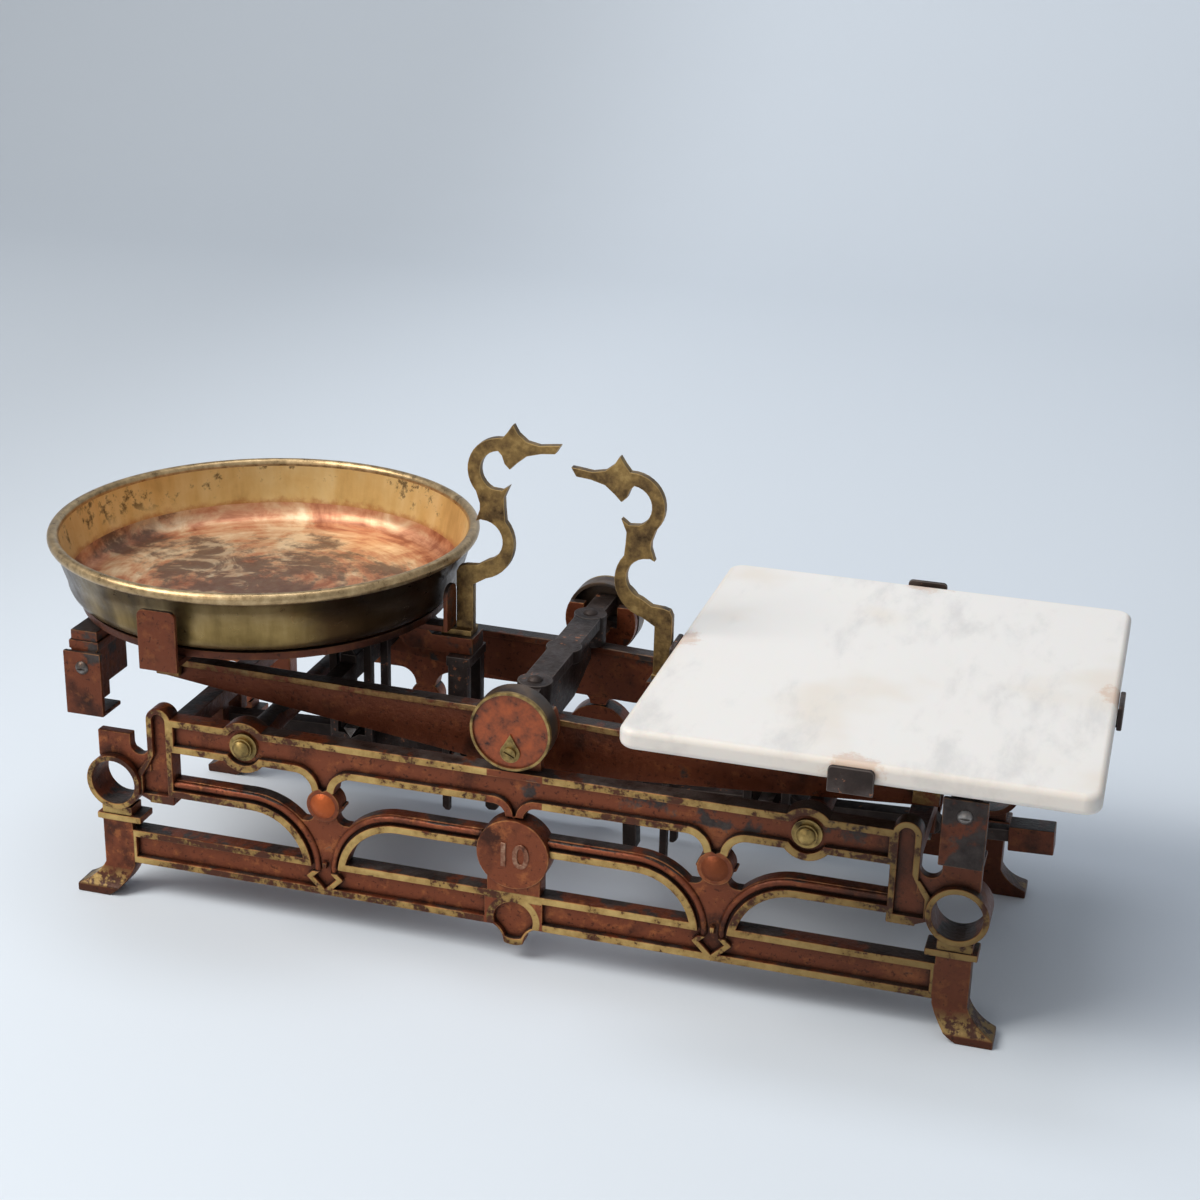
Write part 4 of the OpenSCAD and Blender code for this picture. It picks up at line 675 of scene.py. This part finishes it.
def spun_brass(name, part):
    """Sheet brass spun to shape: olive tarnish outside with water runs, a polished rolled rim, a golden
    inner wall, and a floor that acid and rust have stained orange, umber and tan in rings, as the spinning
    left them."""
    material, add = new_finish(name)
    low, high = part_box("weighing_pan")
    middle = ((low.x + high.x) / 2, (low.y + high.y) / 2, low.z)
    object_place = add("TexCoord", take="Object")
    place = add("Mapping", {"Vector": object_place, "Location": tuple(-v for v in middle)})
    x, y, z = add("SeparateXYZ", {0: place}, take=None)
    flat = add("VectorMath", {0: place, 1: (1, 1, 0)}, operation="MULTIPLY")
    ringed = add("VectorMath", {0: flat}, operation="LENGTH", take="Value")
    heading = add("VectorMath", {0: flat}, operation="NORMALIZE")
    # Round the wall the pattern is tall and narrow, over the floor it is drawn out along the rings
    unrolled = add("VectorMath", {0: heading, "Scale": 110 * MM}, operation="SCALE")
    lifted = add("CombineXYZ", {2: add("Math", {0: z, 1: 0.2}, operation="MULTIPLY")})
    runs = add("VectorMath", {0: unrolled, 1: lifted}, operation="ADD")
    run = add("TexNoise", {"Vector": runs, "Scale": per_mm(16), "Detail": 6, "Roughness": 0.55})
    grooves = add("VectorMath", {0: heading, "Scale": 12 * MM}, operation="SCALE")
    radial = add("CombineXYZ", {2: ringed})
    grooves = add("VectorMath", {0: grooves, 1: radial}, operation="ADD")
    groove = add("TexNoise", {"Vector": grooves, "Scale": per_mm(5), "Detail": 7, "Roughness": 0.62})
    cloud = add(
        "TexNoise", {"Vector": place, "Scale": per_mm(55), "Detail": 7, "Roughness": 0.6, "Distortion": 0.3}
    )
    speck = add("TexNoise", {"Vector": place, "Scale": per_mm(6), "Detail": 8, "Roughness": 0.7})
    metallic, rough_low, rough_high, grain = 0.85, 0.24, 0.42, speck
    if part == "outside":
        mix = add("Math", {0: run, 1: cloud}, operation="ADD")
        mix = add("Math", {0: mix, 1: 0.5}, operation="MULTIPLY")
        base = add(
            "ValToRGB", {0: mix},
            stops=[(0.38, "#4a3a20"), (0.46, "#6e5932"), (0.55, colour("brass")), (0.66, "#ab9365")],
        )
        # Painted reflection of the shadowed floor towards both ends, and darker just under the rim
        side = add("SeparateXYZ", {0: heading})
        side = add("Math", {0: side}, operation="ABSOLUTE")
        side = add("Math", {0: cloud, 1: 0.4, 2: side}, operation="MULTIPLY_ADD")
        side = add("MapRange", {0: side, 1: 0.66, 2: 0.92, 4: 0.92}, **SOFT)
        base = add("Mix", {0: side, 6: base, 7: linear("#3a2411")}, **TINT)
        metallic = 0.92
        under = add("Math", {0: speck, 1: 6 * MM, 2: z}, operation="MULTIPLY_ADD")
        under = add("MapRange", {0: under, 1: 32 * MM, 2: 36 * MM, 4: 0.7}, **SOFT)
        base = add("Mix", {0: under, 6: base, 7: linear("#4a2a17")}, **TINT)
    elif part == "rim":
        base = add("ValToRGB", {0: speck}, stops=[(0.3, "#7d6647"), (0.5, "#ad9169"), (0.7, "#cdb288")])
    elif part == "wall":
        mix = add("Math", {0: run, 1: cloud}, operation="ADD")
        mix = add("Math", {0: mix, 1: 0.5}, operation="MULTIPLY")
        base = add(
            "ValToRGB", {0: mix},
            stops=[(0.34, "#b99557"), (0.46, "#dcba78"), (0.56, "#e6ca8e"), (0.68, "#f0dbab")],
        )
        # Dirt under the rim, and rusty stain where the wall turns into the floor
        dirt = add("Math", {0: speck, 1: cloud}, operation="MULTIPLY")
        dirt = add("MapRange", {0: dirt, 1: 0.285, 2: 0.36}, **SOFT)
        under = add("MapRange", {0: z, 1: 14 * MM, 2: 24 * MM, 4: 0.8}, **SOFT)
        dirt = add("Math", {0: dirt, 1: under}, operation="MULTIPLY")
        base = add("Mix", {0: dirt, 6: base, 7: linear("#3c2813")}, **TINT)
        low_part = add("Math", {0: speck, 1: 12 * MM, 2: z}, operation="MULTIPLY_ADD")
        low_part = add("MapRange", {0: low_part, 1: 22 * MM, 2: 17 * MM, 4: 0.6}, **SOFT)
        base = add("Mix", {0: low_part, 6: base, 7: colour("stain")}, **TINT)
        metallic, rough_low, rough_high = 0.5, 0.3, 0.46
    else:
        warped = add(
            "TexNoise",
            {"Vector": place, "Scale": per_mm(34), "Detail": 8, "Roughness": 0.64, "Distortion": 1.1},
        )
        mix = add("Math", {0: groove, 1: 0.4}, operation="MULTIPLY")
        mix = add("Math", {0: warped, 1: 0.6, 2: mix}, operation="MULTIPLY_ADD")
        # Lighter and tanner towards the left and the back, redder towards the right
        lean = add("Math", {0: x, 1: -0.5, 2: mix}, operation="MULTIPLY_ADD")
        lean = add("Math", {0: y, 1: 0.7, 2: lean}, operation="MULTIPLY_ADD")
        # Rustier again where the floor rises into the wall
        bend = add("MapRange", {0: ringed, 1: 88 * MM, 2: 100 * MM, 3: 0.0, 4: 0.09})
        lean = add("Math", {0: lean, 1: bend}, operation="SUBTRACT")
        base = add(
            "ValToRGB", {0: lean},
            stops=[(0.38, "#96573a"), (0.47, "#c48763"), (0.53, "#d4a881"), (0.62, "#e9cda8")],
        )
        # Umber pools in the middle and the front, ragged and broken by fine scratches
        pool = add("MapRange", {0: ringed, 1: 85 * MM, 2: 20 * MM, 3: 0.0, 4: 0.14})
        pool = add("Math", {0: y, 1: -0.9, 2: pool}, operation="MULTIPLY_ADD")
        pool = add("Math", {0: pool, 1: cloud}, operation="ADD")
        pool = add("Math", {0: speck, 1: 0.25, 2: pool}, operation="MULTIPLY_ADD")
        pool = add("Math", {0: groove, 1: 0.3, 2: pool}, operation="MULTIPLY_ADD")
        pool = add("Math", {0: pool, 1: 0.04}, operation="SUBTRACT")
        pool = add("MapRange", {0: pool, 1: 0.7, 2: 0.82, 4: 0.86}, **SOFT)
        thin = add("MapRange", {0: warped, 1: 0.52, 2: 0.6, 3: 1.0, 4: 0.45}, **SOFT)
        pool = add("Math", {0: pool, 1: thin}, operation="MULTIPLY")
        base = add("Mix", {0: pool, 6: base, 7: linear("#5b4135")}, **TINT)
        metallic, rough_low, rough_high, grain = 0.45, 0.32, 0.52, groove
    rough = add("MapRange", {0: speck, 1: 0.3, 2: 0.7, 3: rough_low, 4: rough_high})
    close_finish(add, base, metallic, rough, grain, 0.1)
    return material


class BalanceSlab(bpy.types.Operator):
    """Dresses the marble slab"""

    bl_idname = "balance.slab"
    bl_label = "Slab"

    def execute(self, context):
        return dress(self, polished_marble("Polished marble"), 0, ["marble_slab"])


def polished_marble(name):
    """White marble, sawn and polished: warm white with soft grey clouds that lean one way, a waxy gloss
    that use has dulled, and rust stains where the iron clips touch it."""
    material, add = new_finish(name)
    place = add("TexCoord", take="Object")
    turned = add("Mapping", {"Vector": place, "Rotation": (0, 0, 0.7), "Scale": (1, 0.34, 1)})
    cloud = add(
        "TexNoise",
        {"Vector": turned, "Scale": per_mm(60), "Detail": 5, "Roughness": 0.5, "Distortion": 0.3},
    )
    wisp = add(
        "TexNoise",
        {"Vector": turned, "Scale": per_mm(16), "Detail": 6, "Roughness": 0.62, "Distortion": 0.2},
    )
    warm = add("TexNoise", {"Vector": place, "Scale": per_mm(90), "Detail": 3})
    ground = add("Mix", {0: warm, 6: linear("#f0ece9"), 7: colour("marble")}, **TINT)
    tan = add("MapRange", {0: warm, 1: 0.5, 2: 0.68, 4: 0.4}, **SOFT)
    ground = add("Mix", {0: tan, 6: ground, 7: linear("#e2d2be")}, **TINT)
    grey = add("Math", {0: cloud, 1: wisp}, operation="ADD")
    grey = add("MapRange", {0: grey, 1: 1.0, 2: 1.32, 4: 0.5}, **SOFT)
    base = add("Mix", {0: grey, 6: ground, 7: linear("#c9c6c4")}, **TINT)
    # Old dirt along the sides, rust at the four clips
    low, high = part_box("marble_slab")
    middle = ((low.x + high.x) / 2, (low.y + high.y) / 2, 0)
    reach = ((high.x - low.x) / 2, (high.y - low.y) / 2, 1)
    shifted = add("VectorMath", {0: place, 1: middle}, operation="SUBTRACT")
    shifted = add("VectorMath", {0: shifted}, operation="ABSOLUTE")
    shifted = add("VectorMath", {0: shifted, 1: reach}, operation="DIVIDE")
    x, y, _ = add("SeparateXYZ", {0: shifted}, take=None)
    rim = add("Math", {0: x, 1: y}, operation="MAXIMUM")
    speck = add("TexNoise", {"Vector": place, "Scale": per_mm(7), "Detail": 7, "Roughness": 0.7})
    rim = add("Math", {0: speck, 1: 0.03, 2: rim}, operation="MULTIPLY_ADD")
    rim = add("MapRange", {0: rim, 1: 0.975, 2: 1.012, 4: 0.35}, **SOFT)
    base = add("Mix", {0: rim, 6: base, 7: linear("#dccab4")}, **TINT)
    low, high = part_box("slab_clips")
    front_x = (low.x + high.x) / 2
    middle_z = (low.z + high.z) / 2 + 3 * MM
    for spot_x, spot_y in [(front_x, low.y), (front_x, high.y), (low.x, 0), (high.x, 0)]:
        spot = (spot_x, spot_y, middle_z)
        away = add("VectorMath", {0: place, 1: spot}, operation="DISTANCE", take="Value")
        ragged = add("Math", {0: speck, 1: 30 * MM, 2: away}, operation="MULTIPLY_ADD")
        rust = add("MapRange", {0: ragged, 1: 31 * MM, 2: 24 * MM, 4: 0.38}, **SOFT)
        base = add("Mix", {0: rust, 6: base, 7: linear("#c48648")}, **TINT)
    rough = add("MapRange", {0: cloud, 1: 0.3, 2: 0.7, 3: 0.3, 4: 0.42})
    close_finish(
        add, base, 0.0, rough, speck, 0.05, {"Subsurface Weight": 0.08, "Subsurface Scale": 4 * MM}
    )
    return material


class BalanceNumber(bpy.types.Operator):
    """Raises a plain number on the front shield"""

    bl_idname = "balance.number"
    bl_label = "Number on the shield"

    def execute(self, context):
        height = context.scene.balance_sizes.number_height
        curve = bpy.data.curves.new("shield_number", "FONT")
        curve.body = "10"
        # A numeral is 0.7 of the font's size high
        curve.size = height / 0.7
        curve.align_x = "CENTER"
        curve.extrude = 0.5 * MM
        curve.offset = 0.1 * MM
        curve.bevel_depth = 0.3 * MM
        curve.bevel_resolution = 2
        writing = bpy.data.objects.new("shield_number", curve)
        bpy.context.scene.collection.objects.link(writing)
        bpy.context.view_layer.update()
        flat = bpy.data.meshes.new_from_object(writing)
        bpy.data.objects.remove(writing)
        shape = bmesh.new()
        shape.from_mesh(flat)
        bmesh.ops.remove_doubles(shape, verts=shape.verts, dist=0.005 * MM)
        middle = (min(v.co.y for v in shape.verts) + max(v.co.y for v in shape.verts)) / 2
        # Stands upright on the shield's face, middle on middle
        upright = Matrix.Rotation(math.pi / 2, 4, "X") @ Matrix.Translation((0, -middle, 0))
        on_shield = Matrix.Translation(SHIELD_FACE) @ upright
        bmesh.ops.transform(shape, matrix=on_shield, verts=shape.verts)
        for face in shape.faces:
            face.smooth = False
        colours = ["#4a2a1e", "#7e4e38", "#a07a62", "#c2a892"]
        finish = aged_brass("Rubbed bronze of the number", colours, size_mm=3, metallic=0.6)
        finish_piece(shape, "shield_number_piece", [finish], "base", "frame_paint")
        return {"FINISHED"}


class BalanceStage(bpy.types.Operator):
    """Sets the floor, the backdrop, the soft lamps and the camera"""

    bl_idname = "balance.stage"
    bl_label = "Stage, lamps and camera"

    def execute(self, context):
        scene = context.scene
        scene.view_settings.view_transform = "Standard"
        # Paper sweep, in metres: flat floor that curves up into the backdrop
        front, bend, radius, top, half_width = -3.0, 1.6, 0.9, 4.0, 4.5
        shape = bmesh.new()
        sweep = [(front, 0.0), (bend, 0.0), *arc(bend, radius, radius, -80, 1, 10), (bend + radius, top)]
        row = [shape.verts.new((-half_width, y, z)) for y, z in sweep]
        edges = [shape.edges.new(pair) for pair in zip(row, row[1:])]
        spread = bmesh.ops.extrude_edge_only(shape, edges=edges)
        moved = [v for v in spread["geom"] if isinstance(v, bmesh.types.BMVert)]
        bmesh.ops.translate(shape, verts=moved, vec=(2 * half_width, 0, 0))
        bmesh.ops.recalc_face_normals(shape, faces=shape.faces)
        for face in shape.faces:
            face.smooth = True
        mesh = bpy.data.meshes.new("paper_sweep")
        shape.to_mesh(mesh)
        shape.free()
        floor = bpy.data.objects.new("paper_sweep", mesh)
        scene.collection.objects.link(floor)
        mesh.materials.append(studio_paper("Matt paper"))

        # Seen directly or in the metal, the air is as pale as the paper, but it lights the object less
        world = bpy.data.worlds.new("Studio air")
        scene.world = world
        world.use_nodes = True
        world.node_tree.nodes.clear()
        add = partial(add_node, world.node_tree)
        ray = add("LightPath", take=None)
        seen = add("Math", {0: ray["Is Camera Ray"], 1: ray["Is Glossy Ray"]}, operation="MAXIMUM")
        seen = add("Math", {0: seen, 1: ray["Is Transmission Ray"]}, operation="MAXIMUM")
        strength = add("MapRange", {0: seen, 3: 0.27, 4: 0.75})
        shown = add("Background", {"Color": colour("floor"), "Strength": strength})
        add("OutputWorld", {"Surface": shown}, take=None)

        for name, spot, target, size, power, tint in LAMPS:
            data = bpy.data.lights.new(name, "AREA")
            data.shape = "SQUARE"
            data.size = size
            data.energy = power
            data.color = linear(tint)[:3]
            lamp = bpy.data.objects.new(name, data)
            scene.collection.objects.link(lamp)
            lamp.location = spot
            lamp.rotation_euler = (Vector(target) - Vector(spot)).to_track_quat("-Z", "Y").to_euler()

        # The camera looks along -back, and its picture is turned a little by the roll
        turn, lift, roll = (math.radians(v) for v in (CAMERA_TURN, CAMERA_LIFT, CAMERA_ROLL))
        back = Vector((math.sin(turn) * math.cos(lift), -math.cos(turn) * math.cos(lift), math.sin(lift)))
        right = Vector((math.cos(turn), math.sin(turn), 0))
        up = back.cross(right)
        level_right, level_up = right.copy(), up.copy()
        right = level_right * math.cos(roll) + level_up * math.sin(roll)
        up = level_up * math.cos(roll) - level_right * math.sin(roll)
        eye = Vector(CAMERA_AIM) * MM + back * CAMERA_DISTANCE * MM
        data = bpy.data.cameras.new("Camera")
        data.sensor_width = SENSOR_WIDTH
        data.lens = FOCAL_PIXELS / PHOTO_PIXELS * SENSOR_WIDTH
        camera = bpy.data.objects.new("Camera", data)
        scene.collection.objects.link(camera)
        rows = [[right[i], up[i], back[i], eye[i]] for i in range(3)]
        camera.matrix_world = Matrix(rows + [[0, 0, 0, 1]])
        scene.camera = camera
        return {"FINISHED"}


def studio_paper(name):
    """Matt background paper, slightly uneven, with painted light falloff: brighter in front and darker to the
    sides and the back.
    """
    material, add = new_finish(name)
    place = add("TexCoord", take="Object")
    cloud = add("TexNoise", {"Vector": place, "Scale": 2.2, "Detail": 3})
    x, y, _ = add("SeparateXYZ", {0: place}, take=None)
    # Painted light falloff: brighter in front, darker to the sides and the back
    wide = add("Math", {0: x}, operation="ABSOLUTE")
    painted_falloff = add("MapRange", {0: wide, 1: 0.25, 2: 0.9, 3: 1.0, 4: 0.77}, **SOFT)
    front_to_back_falloff = add("MapRange", {0: y, 1: -0.3, 2: 0.6, 3: 1.09, 4: 0.98}, **SOFT)
    painted_falloff = add("Math", {0: painted_falloff, 1: front_to_back_falloff}, operation="MULTIPLY")
    base = add("VectorMath", {0: colour("floor")[:3], "Scale": painted_falloff}, operation="SCALE")
    close_finish(add, base, 0.0, 0.85, cloud, 0.02)
    return material


STEPS = [
    BalanceCastings,
    BalanceBracing,
    BalanceFittings,
    BalanceBeam,
    BalanceCarriers,
    BalanceLevers,
    BalancePointers,
    BalancePan,
    BalanceSlab,
    BalanceNumber,
    BalanceStage,
]


class BalancePanel(bpy.types.Panel):
    """Lists the steps that dress the balance"""

    bl_idname = "VIEW3D_PT_balance"
    bl_label = "Counter balance"
    bl_space_type = "VIEW_3D"
    bl_region_type = "UI"
    bl_category = "Balance"

    def draw(self, context):
        for group in (context.scene.balance_colours, context.scene.balance_sizes):
            for key in group.__annotations__:
                self.layout.prop(group, key)
        for step in STEPS:
            self.layout.operator(step.bl_idname)


CLASSES = [BalanceColours, BalanceSizes, *STEPS, BalancePanel]


def register():
    for item in CLASSES:
        bpy.utils.register_class(item)
    bpy.types.Scene.balance_colours = bpy.props.PointerProperty(type=BalanceColours)
    bpy.types.Scene.balance_sizes = bpy.props.PointerProperty(type=BalanceSizes)


def unregister():
    del bpy.types.Scene.balance_sizes
    del bpy.types.Scene.balance_colours
    for item in reversed(CLASSES):
        bpy.utils.unregister_class(item)


def main():
    register()
    for step in STEPS:
        group, name = step.bl_idname.split(".")
        getattr(getattr(bpy.ops, group), name)()


if __name__ == "__main__":
    main()
